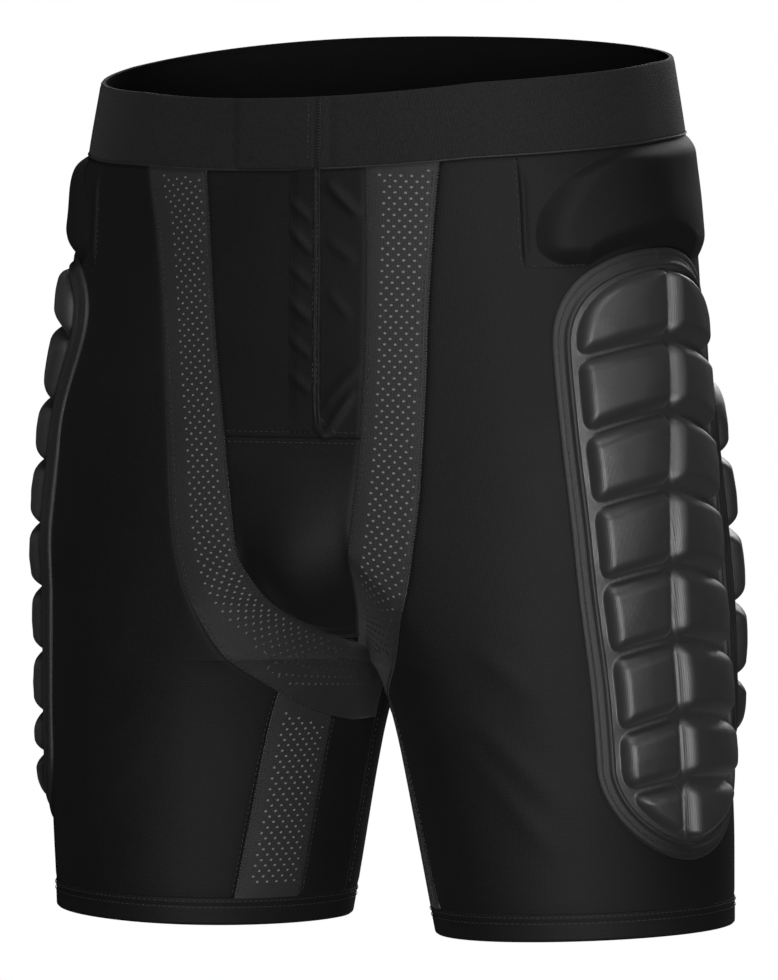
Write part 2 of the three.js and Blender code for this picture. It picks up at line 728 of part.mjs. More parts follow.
// The hip pad's cover is thin along its seams and rises over the foam inside.
function hipPad(side) {
  const [rows, columns] = [7, 12];
  const front = HIP_PAD_FRONT - (side < 0 ? RIGHT_HIP_SETBACK : 0);
  const top = BAND_LOW - SEAM_GAP;
  const thigh = padOutline(thighPad, 0);
  const fullWidth = thigh.half(0.5);
  return clothSolid(rows, columns, (i, j) => {
    const g = mix(front, -HIP_PAD_BACK, j / columns);
    const beside = clamp(Math.abs(g - thighPad.axis) / fullWidth, 0, 1);
    const arch = 1 - (1 - beside ** thighPad.topPower) ** (1 / thighPad.topPower);
    const padTop = thigh.height(0) - thighPad.end * arch;
    const low = Math.max(top - HIP_PAD_DEPTH, padTop + HIP_PAD_SPACE);
    const down = i / rows;
    const h = mix(top, low, down);
    const fromFront = (front - g) / HIP_PAD_BEVEL - 0.6 * (1 - smooth(down / 0.6));
    const fromBack = (g + HIP_PAD_BACK) / HIP_PAD_BEVEL;
    const rise = smooth(down / 0.16) * smooth((1 - down) / 0.25) * smooth(fromFront) * smooth(fromBack);
    const forward = smooth((g / HIP_PAD_BLEND + 1) / 2);
    const full = mix(HIP_PAD_REAR_THICKNESS, HIP_PAD_THICKNESS, forward);
    const height = PAD_CLEARANCE + mix(HIP_PAD_MARGIN, full, rise);
    return { h, g, outer: height, inner: PAD_CLEARANCE };
  });
}

addPiece('waistband', waistband(), 'elastic');
addPiece('waistband_lap', waistbandLap(), 'elastic');
addPiece('front_panel', frontPanel(), 'knit');
addPiece('fly_flap', flyFlap(), 'knit');
addPiece('pouch_panel', pouchPanel(), 'knit');
addPair('mesh_stripe', meshStripe, 'mesh');
addPair('inner_thigh_mesh', innerThighMesh, 'mesh');
addPair('inner_leg_panel', innerLegPanel, 'knit');
addPair('leg_panel', legPanel, 'knit');
addPair('seat_panel', seatPanel, 'knit');
addPair('hem_band', hemBand, 'knit');
addPair('hip_pad', hipPad, 'knit');
addPair('thigh_pad', (side) => padBlocks(thighPad, side), 'foam');
addPair('thigh_pad_border', (side) => padBorder(thighPad, side), 'binding');
addPair('seat_pad', (side) => padBlocks(seatPad, side), 'foam');
addPair('seat_pad_border', (side) => padBorder(seatPad, side), 'binding');

export default shorts;
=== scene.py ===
# %% [markdown]
# # Padded protective shorts in their worn shape
# These shorts are a stretch shell of sewn panels with foam pads at the hips, thighs and seat.
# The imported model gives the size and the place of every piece, and each cell below replaces
# one or more of its plain solids with cloth, foam, seams and stitches.

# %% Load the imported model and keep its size
import math

import bpy
import numpy as np
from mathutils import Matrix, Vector
from mathutils.geometry import delaunay_2d_cdt


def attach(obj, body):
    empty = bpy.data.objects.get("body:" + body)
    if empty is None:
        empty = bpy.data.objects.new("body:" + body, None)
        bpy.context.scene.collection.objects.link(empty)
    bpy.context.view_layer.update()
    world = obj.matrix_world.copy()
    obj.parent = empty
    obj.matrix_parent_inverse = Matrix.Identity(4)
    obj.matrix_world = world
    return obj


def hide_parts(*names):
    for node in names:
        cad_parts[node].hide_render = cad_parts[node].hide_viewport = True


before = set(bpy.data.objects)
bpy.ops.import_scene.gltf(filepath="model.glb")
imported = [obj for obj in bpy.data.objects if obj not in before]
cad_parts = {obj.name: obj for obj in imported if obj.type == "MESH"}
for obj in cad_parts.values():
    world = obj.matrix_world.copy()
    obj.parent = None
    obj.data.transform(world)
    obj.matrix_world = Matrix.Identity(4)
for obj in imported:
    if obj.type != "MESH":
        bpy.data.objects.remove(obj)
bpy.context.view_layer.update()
scene = bpy.context.scene
MM = 0.001
print("CAD nodes:", len(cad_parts))

# %% [markdown]
# ## Camera
# The photograph looks slightly down at the front, from the wearer's left. A long lens far
# away keeps the two legs almost the same size, as a studio photographer would choose.

# %% Camera at the photograph's angle
CAMERA_AZIMUTH = math.radians(27)
CAMERA_ELEVATION = math.radians(2.5)
CAMERA_DISTANCE = 3.6
CAMERA_TARGET = Vector((0, 0, -0.197))
CAMERA_LENS = 254.3

camera_data = bpy.data.cameras.new("camera")
camera_data.lens = CAMERA_LENS
camera = bpy.data.objects.new("camera", camera_data)
scene.collection.objects.link(camera)


def towards(azimuth, elevation):
    """Direction from the object to a viewer or lamp. Azimuth 0 is in front, 90 on the wearer's left."""
    flat = math.cos(elevation)
    return Vector((math.sin(azimuth) * flat, -math.cos(azimuth) * flat, math.sin(elevation)))


camera_side = towards(CAMERA_AZIMUTH, CAMERA_ELEVATION)
camera.location = CAMERA_TARGET + camera_side * CAMERA_DISTANCE
camera.rotation_euler = camera_side.to_track_quat("Z", "Y").to_euler()
scene.camera = camera
scene.view_settings.view_transform = "Standard"
print("camera at", [round(x, 3) for x in camera.location])

# %% [markdown]
# ## Studio
# Black cloth shows its form only where soft lamps graze it. The main lamp stands beside the
# camera, so the far side falls into shade, and the white surroundings and floor are kept out
# of the light, so that the cloth stays black against a white page.

# %% Floor, surroundings and lamps
FLOOR_HEIGHT = -0.95
FLOOR_REACH = 6.0
FLOOR_SHADE = 0.06
AMBIENT = 0.015
WHITE = (1, 1, 1, 1)


def shader_tree(owner):
    """An empty node tree of a material or world."""
    owner.use_nodes = True
    owner.node_tree.nodes.clear()
    return owner.node_tree


def seen_or_lit(tree, lit, seen, output):
    """The camera sees one shader, and all other light meets the other one."""
    ray = tree.nodes.new("ShaderNodeLightPath")
    blend = tree.nodes.new("ShaderNodeMixShader")
    out = tree.nodes.new(output)
    tree.links.new(ray.outputs["Is Camera Ray"], blend.inputs["Fac"])
    tree.links.new(lit.outputs[0], blend.inputs[1])
    tree.links.new(seen.outputs[0], blend.inputs[2])
    tree.links.new(blend.outputs[0], out.inputs["Surface"])


world = bpy.data.worlds.new("studio")
scene.world = world
tree = shader_tree(world)
skies = []
for strength in (AMBIENT, 1.0):
    sky = tree.nodes.new("ShaderNodeBackground")
    sky.inputs["Color"].default_value = WHITE
    sky.inputs["Strength"].default_value = strength
    skies.append(sky)
seen_or_lit(tree, *skies, "ShaderNodeOutputWorld")

floor_mesh = bpy.data.meshes.new("floor")
corners = [(x * FLOOR_REACH, y * FLOOR_REACH, FLOOR_HEIGHT) for x, y in ((-1, -1), (1, -1), (1, 1), (-1, 1))]
floor_mesh.from_pydata(corners, [], [(0, 1, 2, 3)])
floor = bpy.data.objects.new("floor", floor_mesh)
scene.collection.objects.link(floor)
floor_paint = bpy.data.materials.new("pale_floor")
tree = shader_tree(floor_paint)
matt = tree.nodes.new("ShaderNodeBsdfDiffuse")
matt.inputs["Color"].default_value = (FLOOR_SHADE, FLOOR_SHADE, FLOOR_SHADE, 1)
glow = tree.nodes.new("ShaderNodeEmission")
glow.inputs["Strength"].default_value = 1.0
seen_or_lit(tree, matt, glow, "ShaderNodeOutputMaterial")
floor_mesh.materials.append(floor_paint)


def lamp(name, azimuth, elevation, distance, size, power):
    """A square soft lamp that faces the middle of the shorts."""
    data = bpy.data.lights.new(name, "AREA")
    data.size = size
    data.energy = power
    away = towards(math.radians(azimuth), math.radians(elevation))
    holder = bpy.data.objects.new(name, data)
    holder.location = CAMERA_TARGET + away * distance
    holder.rotation_euler = away.to_track_quat("Z", "Y").to_euler()
    scene.collection.objects.link(holder)


lamp("key_lamp", 32, -5, 1.9, 0.7, 46)
lamp("left_lamp", -75, 14, 2.1, 0.5, 0.7)
lamp("side_lamp", 74, 22, 2.0, 0.5, 5)
lamp("top_lamp", 16, 58, 1.6, 0.5, 15)
lamp("rear_lamp", 190, 30, 2.0, 1.2, 24)

# %% [markdown]
# ## The worn body
# The shell is a close-fitting knit, so its shape is the shape of the wearer's hips and legs.
# It is described by cross-sections of one half at several heights. A place on the surface is
# given by its height h and its girth g, the distance round from the side: positive round the
# front and negative round the back. All of this is in millimetres.

# %% Dimensions of the worn shape
WAIST_WIDTH = 304
HIP_WIDTH = 369
FRONT_REACH = 109
BACK_REACH = 126
BAND_TOP = 19
BAND_LOW = -19
RISE = 263
LEG_LENGTH = 138
LEG_CENTRE = 109
HEM_HALF_WIDTH = 75
CROTCH_BACKSET = 12
FRONT_FORK_HEIGHT = 77
BACK_FORK_HEIGHT = 117
CROTCH_ROUND = 45
CROTCH_HALF_GAP = 7
SIDE_LIFT = 4.9
FRONT_TILT = 0.142
BACK_TILT = 0.107
BACK_BOW = 0.063
FRONT_DIP = 3.1
FRONT_DIP_HALF = 95
WAIST_TWIST = 0.0229
TILT_DEPTH = 169
HEM_ROLL = 0.035
HEM_ROLL_HEIGHT = 90
WEB_BLEND = 20
CROTCH = BAND_LOW - RISE
HEM = CROTCH - LEG_LENGTH
INSEAM_X = LEG_CENTRE - HEM_HALF_WIDTH

# level, front x, front y, side, side y, back x, back y, front power, back power
SECTIONS = np.array([
    [-1.000, 0.000, 0.982, 0.000, 0.037, 0.000, 0.825, 2.40, 2.30],
    [0.000, 0.000, 0.991, 0.215, 0.037, 0.000, 0.841, 2.45, 2.30],
    [0.194, 0.000, 0.991, 0.462, 0.055, 0.000, 0.897, 2.30, 2.20],
    [0.384, 0.000, 1.000, 0.615, 0.092, 0.000, 0.968, 2.35, 2.10],
    [0.574, 0.037, 1.000, 0.769, 0.128, 0.073, 1.000, 2.55, 2.10],
    [0.745, 0.220, 1.000, 0.892, 0.128, 0.385, 0.984, 2.50, 2.10],
    [0.897, 0.606, 0.954, 0.954, 0.092, 0.697, 0.921, 2.20, 2.05],
    [1.058, 0.807, 0.899, 1.000, 0.055, 0.844, 0.817, 2.10, 2.00],
    [1.348, 0.908, 0.844, 1.050, 0.028, 0.927, 0.750, 2.05, 2.00],
    [1.674, 0.963, 0.789, 1.090, 0.000, 0.972, 0.722, 2.00, 2.00],
    [2.000, 1.000, 0.734, 1.090, -0.018, 1.000, 0.706, 2.00, 2.00],
])


def height_at(level):
    """Level -1 is the top edge, 0 the waistband seam, 1 the crotch and 2 the hem."""
    level = np.asarray(level, float)
    upper = BAND_LOW - level * np.where(level < 0, BAND_TOP - BAND_LOW, RISE)
    return np.where(level < 1, upper, CROTCH - (level - 1) * LEG_LENGTH)


def smooth(share):
    """A step from 0 to 1 with soft ends."""
    t = np.clip(share, 0, 1)
    return t * t * (3 - 2 * t)


def monotone(xs, ys):
    """A smooth curve through points that never overshoots them."""
    order = np.argsort(xs)
    xs, ys = np.asarray(xs, float)[order], np.asarray(ys, float)[order]
    span = np.diff(xs)
    slope = np.diff(ys) / span
    tangent = np.zeros_like(ys)
    tangent[0], tangent[-1] = slope[0], slope[-1]
    together = slope[:-1] * slope[1:] > 0
    total = np.where(together, slope[:-1] + slope[1:], 1)
    tangent[1:-1] = np.where(together, 2 * slope[:-1] * slope[1:] / total, 0)

    def curve(x):
        i = np.clip(np.searchsorted(xs, x) - 1, 0, len(span) - 1)
        t = np.clip((x - xs[i]) / span[i], 0, 1)
        start = ys[i] * (1 + 2 * t) + span[i] * tangent[i] * t
        end = ys[i + 1] * (3 - 2 * t) - span[i] * tangent[i + 1] * (1 - t)
        return start * (1 - t) ** 2 + end * t * t

    return curve


level_heights = height_at(SECTIONS[:, 0])
section_curves = [monotone(level_heights, SECTIONS[:, column]) for column in range(1, 9)]
print("sections:", len(SECTIONS), "crotch at", CROTCH, "hem at", HEM)

# %% One cross-section, as a front run and a back run from the side inwards
ARC_STEPS = 120
FORK_STEPS = 90
RUN_SAMPLES = 500
FRONT_PULLS = (0.55, 0.55)
BACK_PULLS = (0.5, 0.42)


def quarter(start, end, power, along_x):
    """A quarter of a superellipse between two points."""
    angle = np.linspace(0, math.pi / 2, ARC_STEPS + 1)
    c = np.clip(np.cos(angle), 0, 1) ** (2 / power)
    s = np.sin(angle) ** (2 / power)
    if along_x:
        return np.c_[start[0] + (end[0] - start[0]) * s, end[1] + (start[1] - end[1]) * c]
    return np.c_[end[0] + (start[0] - end[0]) * c, start[1] + (end[1] - start[1]) * s]


def fork(start, inner, pulls):
    """The turn from the front or back of a leg in towards the crotch."""
    t = np.linspace(0, 1, FORK_STEPS + 1)[:, None]
    first = np.array([start[0] - pulls[0] * (start[0] - inner[0]), start[1]])
    second = np.array([inner[0], inner[1] + pulls[1] * (start[1] - inner[1])])
    bend = 3 * t * (1 - t) ** 2 * first + 3 * t * t * (1 - t) * second
    return (1 - t) ** 3 * np.array(start) + bend + t ** 3 * np.array(inner)


def webbed(lobe, plane, rise, hand):
    """Above the crotch the cloth spans both legs in one smooth web."""
    if rise <= 0:
        return lobe
    share = math.sqrt(1 - (1 - min(rise, 1)) ** 2)
    web = CROTCH_BACKSET + (plane - CROTCH_BACKSET) * share
    soft = min(WEB_BLEND, abs(plane - web))
    y = lobe[:, 1]
    reach = np.maximum(y * hand, web * hand)
    near = np.maximum(soft - np.abs(y - web), 0)
    lift = near * near / (4 * soft) if soft > 0 else 0
    return np.c_[lobe[:, 0], hand * (reach + lift)]


def evenly(points):
    """The same line with evenly spaced points, and its length."""
    steps = np.hypot(*np.diff(points, axis=0).T)
    run = np.r_[0, np.cumsum(steps)]
    at = np.linspace(0, run[-1], RUN_SAMPLES + 1)
    return np.c_[np.interp(at, run, points[:, 0]), np.interp(at, run, points[:, 1])], run[-1]


def cross_section(h):
    """The front and back runs at one height, each with its length."""
    fx, fy, out, sy, bx, by, front_power, back_power = [float(curve(h)) for curve in section_curves]
    front = [fx * LEG_CENTRE, -fy * FRONT_REACH]
    back = [bx * LEG_CENTRE, by * BACK_REACH]
    side = [(WAIST_WIDTH + (HIP_WIDTH - WAIST_WIDTH) * out) / 2, -sy * FRONT_REACH]
    below = max(CROTCH - h, 0)
    drop = min(below / CROTCH_ROUND, 1)
    parting = CROTCH_HALF_GAP * math.sqrt(drop * (2 - drop))
    inner = [parting + (INSEAM_X - CROTCH_HALF_GAP) * below / LEG_LENGTH, CROTCH_BACKSET]
    rise = h - CROTCH
    front_fork = webbed(fork(front, inner, FRONT_PULLS), front[1], rise / FRONT_FORK_HEIGHT, -1)
    back_fork = webbed(fork(back, inner, BACK_PULLS), back[1], rise / BACK_FORK_HEIGHT, 1)
    front_line = np.r_[quarter(front, side, front_power, True)[::-1], front_fork[1:]]
    back_line = np.r_[quarter(side, back, back_power, False), back_fork[1:]]
    return evenly(front_line), evenly(back_line)


fork_rows = CROTCH + BACK_FORK_HEIGHT * (1 - np.arange(90) / 90) ** 2
leg_rows = CROTCH - (LEG_LENGTH + 4) * (np.arange(61) / 60) ** 1.6
ROW_HEIGHTS = np.r_[np.arange(BAND_TOP + 3, CROTCH + BACK_FORK_HEIGHT + 0.5, -2.0), fork_rows, leg_rows]
cuts = [cross_section(h) for h in ROW_HEIGHTS]
RUNS = np.array([[cut[0][0] for cut in cuts], [cut[1][0] for cut in cuts]])
RUN_LENGTHS = np.array([[cut[0][1] for cut in cuts], [cut[1][1] for cut in cuts]])
print("surface table:", RUNS.shape)

# %% Places on the worn body
NORMAL_STEP = 1.0


def front_length(h):
    """Distance from the side point round to the front middle or the inseam."""
    return np.interp(-np.asarray(h, float), -ROW_HEIGHTS, RUN_LENGTHS[0])


def back_length(h):
    """Distance from the side point round to the back middle or the inseam."""
    return np.interp(-np.asarray(h, float), -ROW_HEIGHTS, RUN_LENGTHS[1])


def around(h, share):
    """Girth at a share of the way round, from 0 at the front middle or inseam to 1 behind."""
    return front_length(h) - share * (front_length(h) + back_length(h))


def full_turn(count):
    """Evenly spaced places round the whole waist: each one's share of its half, and its hand."""
    turn = 1 - 2 * np.arange(count) / count
    return 1 - np.abs(turn), np.where(turn < 0, -1.0, 1.0)


def plan_point(h, g):
    """The x and y of a place. Past the middle it goes on round the other half or the leg."""
    h, g = np.broadcast_arrays(np.asarray(h, float), np.asarray(g, float))
    behind = (g < 0).astype(int)
    lengths = np.stack([front_length(h), back_length(h)])
    near = np.where(behind == 1, lengths[1], lengths[0])
    far = np.where(behind == 1, lengths[0], lengths[1])
    distance = np.abs(g)
    past = distance > near
    round_leg = past & (h < CROTCH)
    across = past & (h >= CROTCH)
    run = np.where(round_leg, 1 - behind, behind)
    length = np.where(round_leg, far, near)
    at = np.where(round_leg, far + near - distance, np.where(across, 2 * near - distance, distance))
    place = np.clip(at / length, 0, 1) * RUN_SAMPLES
    j = np.clip(place.astype(int), 0, RUN_SAMPLES - 1)
    u = (place - j)[..., None]
    i = np.clip(np.searchsorted(-ROW_HEIGHTS, -h) - 1, 0, len(ROW_HEIGHTS) - 2)
    t = np.clip((ROW_HEIGHTS[i] - h) / (ROW_HEIGHTS[i] - ROW_HEIGHTS[i + 1]), 0, 1)[..., None]
    upper = RUNS[run, i, j] * (1 - u) + RUNS[run, i, j + 1] * u
    lower = RUNS[run, i + 1, j] * (1 - u) + RUNS[run, i + 1, j + 1] * u
    point = upper * (1 - t) + lower * t
    point[..., 0] = np.where(across, -point[..., 0], point[..., 0])
    return point


def lean_at(h):
    """How much of the waistband's tilt reaches a height."""
    return smooth((h - BAND_TOP + TILT_DEPTH) / TILT_DEPTH)


def waist_rise(x, y):
    """The waistband rises from front to back, and its front dips in the middle."""
    dip = FRONT_DIP * np.clip(1 - (x / FRONT_DIP_HALF) ** 2, 0, 1)
    behind = BACK_TILT * y + BACK_BOW * y * y / BACK_REACH
    return SIDE_LIFT + np.where(y > 0, behind, FRONT_TILT * y - dip)


def body_point(h, g):
    """A place on the body surface, with the waist's tilt and the hem's slope."""
    h, g = np.broadcast_arrays(np.asarray(h, float), np.asarray(g, float))
    plan = plan_point(h, g)
    x, y = plan[..., 0], plan[..., 1]
    roll = HEM_ROLL * np.clip((HEM - h) / HEM_ROLL_HEIGHT + 1, 0, 1)
    return np.stack([x, y, h + lean_at(h) * waist_rise(x, y) + roll * (np.abs(x) - LEG_CENTRE)], -1)


def body_normal(h, g):
    """The direction straight out of the body surface."""
    h, g = np.broadcast_arrays(np.asarray(h, float), np.asarray(g, float))
    across = body_point(h, g + NORMAL_STEP) - body_point(h, g - NORMAL_STEP)
    down = body_point(h - NORMAL_STEP, g) - body_point(h + NORMAL_STEP, g)
    normal = np.cross(across, down)
    return normal / np.maximum(np.linalg.norm(normal, axis=-1, keepdims=True), 1e-9)


def raised(h, g, height, side=1):
    """A place in metres at a height above the body, on the wearer's left or, for side -1, right."""
    h, g, height = np.broadcast_arrays(*(np.asarray(v, float) for v in (h, g, height)))
    point = (body_point(h, g) + body_normal(h, g) * height[..., None]) * MM
    point[..., 0] *= side
    return point


def girth_at_x(h, x, hand=1):
    """Girth at which the front run, or for hand -1 the back run, is x from the middle plane."""
    low = np.zeros_like(np.asarray(h, float))
    high = front_length(h) if hand > 0 else back_length(h)
    for _ in range(30):
        middle = (low + high) / 2
        outside = plan_point(h, hand * middle)[..., 0] > x
        low, high = np.where(outside, middle, low), np.where(outside, high, middle)
    return hand * (low + high) / 2


def rows_between(top, bottom):
    """Heights of a panel's rows of points, closer together where the crotch turns under."""
    inside = ROW_HEIGHTS[(ROW_HEIGHTS < top - 0.3) & (ROW_HEIGHTS > bottom + 0.3)]
    return np.r_[top, inside, bottom]


waist_girth = 2 * (front_length(0.0) + back_length(0.0))
print("waist girth", round(float(waist_girth)), "mm")

# %% [markdown]
# ## Where the panels meet
# A mesh stripe runs down each side of the front and turns under between the legs. The
# closing lap pulls the front a little towards the wearer's right, so the stripes aren't
# quite symmetric. These edges are shared by all neighbouring panels.

# %% Edges of the panels
SEAM_GAP = 0.08
WALL = 1.7
YOKE_DEPTH = 147
FRONT_SKEW = 5
STRIPE_END = 1.25
MESH_STRIP_START = 41
MESH_STRIP_WIDTH = 38
HEM_HEIGHT = 14
HEM_SEAM = HEM + HEM_HEIGHT
YOKE_SEAM = BAND_LOW - YOKE_DEPTH
SEAT_LINE_SHARE = 0.6

STRIPE_INNER = np.array([
    [0.000, 0.420], [0.194, 0.410], [0.365, 0.394], [0.490, 0.372], [0.601, 0.349],
    [0.711, 0.317], [0.810, 0.284], [0.871, 0.243], [0.905, 0.193], [0.928, 0.138],
    [0.954, 0.064], [0.975, 0.000],
])
STRIPE_OUTER = np.array([
    [0.000, 0.770], [0.141, 0.729], [0.308, 0.697], [0.468, 0.679], [0.582, 0.661],
    [0.684, 0.647], [0.764, 0.624], [0.844, 0.587], [0.916, 0.528], [0.989, 0.454],
    [1.109, 0.307], [1.196, 0.215], [1.260, 0.128],
])
inner_edge = monotone(height_at(STRIPE_INNER[:, 0]), STRIPE_INNER[:, 1] * LEG_CENTRE)
outer_edge = monotone(height_at(STRIPE_OUTER[:, 0]), STRIPE_OUTER[:, 1] * LEG_CENTRE)


def skew(h):
    """How far the lap pulls the front sideways at a height."""
    return FRONT_SKEW * np.clip(1 - (BAND_LOW - h) / YOKE_DEPTH, 0, 1)


def stripe_inner(h, side):
    """Girth of a mesh stripe's inner edge."""
    x = inner_edge(h) - side * skew(h)
    return np.where(x > 0, girth_at_x(h, np.maximum(x, 0)), front_length(h))


def stripe_outer(h, side):
    """Girth of a mesh stripe's outer edge."""
    return girth_at_x(h, outer_edge(h) - side * skew(h))


def mesh_strip_front(h):
    """Girth of the front edge of the mesh strip inside the thigh."""
    return front_length(h) - MESH_STRIP_START - MESH_STRIP_WIDTH


def stripe_edge_height(distance, side):
    """Height at which the stripe's outer edge is this far from the front inseam."""
    h = np.linspace(float(height_at(STRIPE_END)), CROTCH, 300)
    return np.interp(distance, front_length(h) - stripe_outer(h, side), h)


def seat_line(h):
    """Girth of the seam between a leg panel and the seat."""
    return girth_at_x(h, SEAT_LINE_SHARE * LEG_CENTRE + 0 * h, -1)


stripe_width = float(stripe_inner(BAND_LOW, 1) - stripe_outer(BAND_LOW, 1))
print("stripe width at the top:", round(stripe_width, 1), "mm")

# %% [markdown]
# ## Making meshes
# Most pieces are closed sheets: an outer face, an inner face and a narrow rim. NumPy arrays
# make thousands of points at once, which is much quicker than adding them one by one.

# %% From arrays of points to a closed piece
PIECES = []
RIPPLE_WAVES = 6


def twisted(points):
    """Worn, the waistband sits a little askew: one front and the other back corner are higher."""
    x, y, z = (points / MM).T
    drop = lean_at(z) * WAIST_TWIST * x * y / FRONT_REACH
    return np.c_[points[:, :2], points[:, 2] - drop * MM]


def build_piece(name, points, faces, uv, inside=None, flat=None, normals=None):
    """A mesh object. uv is a place on the cloth for each point, inside marks faces that have the
    second material, flat marks faces that are shaded flat, and normals shade each point."""
    corners = points[faces]
    spins = np.cross(corners[:, 1], corners[:, 2])
    volume = np.einsum("ij,ij->i", corners[:, 0], spins).sum()
    if faces.shape[1] == 4:
        spins = np.cross(corners[:, 2], corners[:, 3])
        volume += np.einsum("ij,ij->i", corners[:, 0], spins).sum()
    if volume < 0:
        faces = faces[:, ::-1]
        normals = None if normals is None else -normals
    points = twisted(points)
    mesh = bpy.data.meshes.new(name)
    count, sides = faces.shape
    mesh.vertices.add(len(points))
    mesh.vertices.foreach_set("co", np.ascontiguousarray(points, np.float32).ravel())
    mesh.loops.add(count * sides)
    mesh.loops.foreach_set("vertex_index", np.ascontiguousarray(faces, np.int32).ravel())
    mesh.polygons.add(count)
    mesh.polygons.foreach_set("loop_start", np.arange(0, count * sides, sides, dtype=np.int32))
    smooth_faces = np.ones(count, bool) if flat is None else ~flat
    mesh.polygons.foreach_set("use_smooth", smooth_faces)
    if inside is not None:
        mesh.polygons.foreach_set("material_index", inside.astype(np.int32))
    mesh.update(calc_edges=True)
    if normals is not None:
        mesh.normals_split_custom_set_from_vertices(normals.tolist())
    layer = mesh.uv_layers.new(name="cloth")
    layer.data.foreach_set("uv", np.ascontiguousarray(uv[faces.ravel()], np.float32).ravel())
    piece = bpy.data.objects.new(name, mesh)
    scene.collection.objects.link(piece)
    PIECES.append(piece)
    return piece


def cloth_places(points, g):
    """A place on the flat cloth for each point of a grid, in metres."""
    steps = np.linalg.norm(np.diff(points, axis=0), axis=-1).mean(axis=1)
    down = np.r_[0, np.cumsum(steps)]
    return np.stack([g * MM, np.broadcast_to(down[:, None], g.shape)], -1)


def grid_faces(index):
    """Four-cornered faces between the neighbouring points of a grid."""
    return np.stack([index[:-1, :-1], index[:-1, 1:], index[1:, 1:], index[1:, :-1]], -1).reshape(-1, 4)


def tube_faces(rows, columns):
    """Faces of a ring: the grid joins up in both directions."""
    index = np.arange(rows * columns).reshape(rows, columns)
    index = np.r_[index, index[:1]]
    return grid_faces(np.c_[index, index[:, :1]])


def spanned(rows, first, last, columns):
    """A grid from one edge of a panel to the other: heights, distances and shares of the width."""
    share = np.linspace(0, 1, columns)[None, :]
    return rows[:, None] + 0 * share, first[:, None] + (last - first)[:, None] * share, share


def sheet_shell(name, h, g, outer, inner, side=1, loop=False, push=0.0):
    """A closed sheet over a grid of places, moved by push. In a loop the last column joins the first."""
    h, g, outer, inner = np.broadcast_arrays(h, g, outer, inner)
    flip = np.broadcast_to(side, h.shape) if np.ndim(side) else side
    top = raised(h, g, outer, flip) + push * MM
    low = raised(h, g, inner, flip) + push * MM
    rows, columns = h.shape
    count = rows * columns
    index = np.arange(count).reshape(rows, columns)
    if loop:
        index = np.c_[index, index[:, :1]]
    front = grid_faces(index)
    back = front[:, ::-1] + count
    edges = [(index[0, 1:], index[0, :-1]), (index[-1, :-1], index[-1, 1:])]
    if not loop:
        edges += [(index[:-1, 0], index[1:, 0]), (index[1:, -1], index[:-1, -1])]
    rim = np.concatenate([np.stack([a, b, b + count, a + count], -1) for a, b in edges])
    faces = np.concatenate([front, back, rim])
    kind = np.repeat([0, 1, 2], [len(front), len(back), len(rim)])
    points = np.concatenate([top.reshape(-1, 3), low.reshape(-1, 3)])
    places = cloth_places(top, g).reshape(-1, 2)
    uv = np.concatenate([places, places])
    return build_piece(name, points, faces, uv, kind == 1, kind == 2)


def valley(distance, width, depth):
    """The dip where a seam pulls the cloth in, at a distance from the seam."""
    return -depth * np.exp(-((distance / width) ** 2))


def folded(outer, across, h, folds):
    """Adds ridges of cloth. Each runs from a start to an end, with a width and a height, and fades out."""
    for start, end, width, height in folds:
        line = np.array(end, float) - np.array(start, float)
        length = math.hypot(*line)
        along = ((across - start[0]) * line[0] + (h - start[1]) * line[1]) / length ** 2
        off = ((across - start[0]) * line[1] - (h - start[1]) * line[0]) / length
        fade = np.sin(math.pi * np.clip(along, 0, 1)) ** 0.7
        outer = outer + height * fade * np.exp(-((off / width) ** 2))
    return outer


def ripple(across, h, seed, wavelength, height):
    """A gentle uneven wave, from a few sines in directions that the seed fixes."""
    random = np.random.default_rng(seed)
    total = np.zeros(np.broadcast(across, h).shape)
    for _ in range(RIPPLE_WAVES):
        angle = random.uniform(0, math.pi)
        size = wavelength * random.uniform(0.6, 1.7)
        shift = random.uniform(0, 2 * math.pi)
        total += np.sin((across * math.cos(angle) + h * math.sin(angle)) * 2 * math.pi / size + shift)
    return height * total / RIPPLE_WAVES


print("mesh helpers ready")

# %% [markdown]
# ## Finishes
# All the cloth is black, and what tells one cloth from another is its knit, its sheen and a
# slight mottling. Each effect is a node group that puts out a mask or a height, so that the
# knit, the elastic and the pad cover can share it with their own values.

# %% Small helpers for node trees
def feed(tree, socket, value):
    """Sets an input to a number or links it to another node's output."""
    if isinstance(value, bpy.types.NodeSocket):
        tree.links.new(value, socket)
    else:
        socket.default_value = value


def calc(tree, operation, first, second=0.0):
    """A math node."""
    node = tree.nodes.new("ShaderNodeMath")
    node.operation = operation
    feed(tree, node.inputs[0], first)
    feed(tree, node.inputs[1], second)
    return node.outputs[0]


def times(tree, first, second):
    """The product of two numbers."""
    return calc(tree, "MULTIPLY", first, second)


def noise(tree, vector, scale, detail, roughness):
    """A noise texture's value."""
    node = tree.nodes.new("ShaderNodeTexNoise")
    feed(tree, node.inputs["Vector"], vector)
    feed(tree, node.inputs["Scale"], scale)
    node.inputs["Detail"].default_value = detail
    node.inputs["Roughness"].default_value = roughness
    return node.outputs["Fac"]


def effect_group(name, inputs, outputs):
    """A shader node group with named inputs and outputs."""
    group = bpy.data.node_groups.new(name, "ShaderNodeTree")
    for label, kind, default in inputs:
        socket = group.interface.new_socket(label, in_out="INPUT", socket_type=kind)
        if default is not None:
            socket.default_value = default
    for label in outputs:
        group.interface.new_socket(label, in_out="OUTPUT", socket_type="NodeSocketFloat")
    return group, group.nodes.new("NodeGroupInput"), group.nodes.new("NodeGroupOutput")


FLOAT = "NodeSocketFloat"
VECTOR = "NodeSocketVector"
print("node helpers ready")

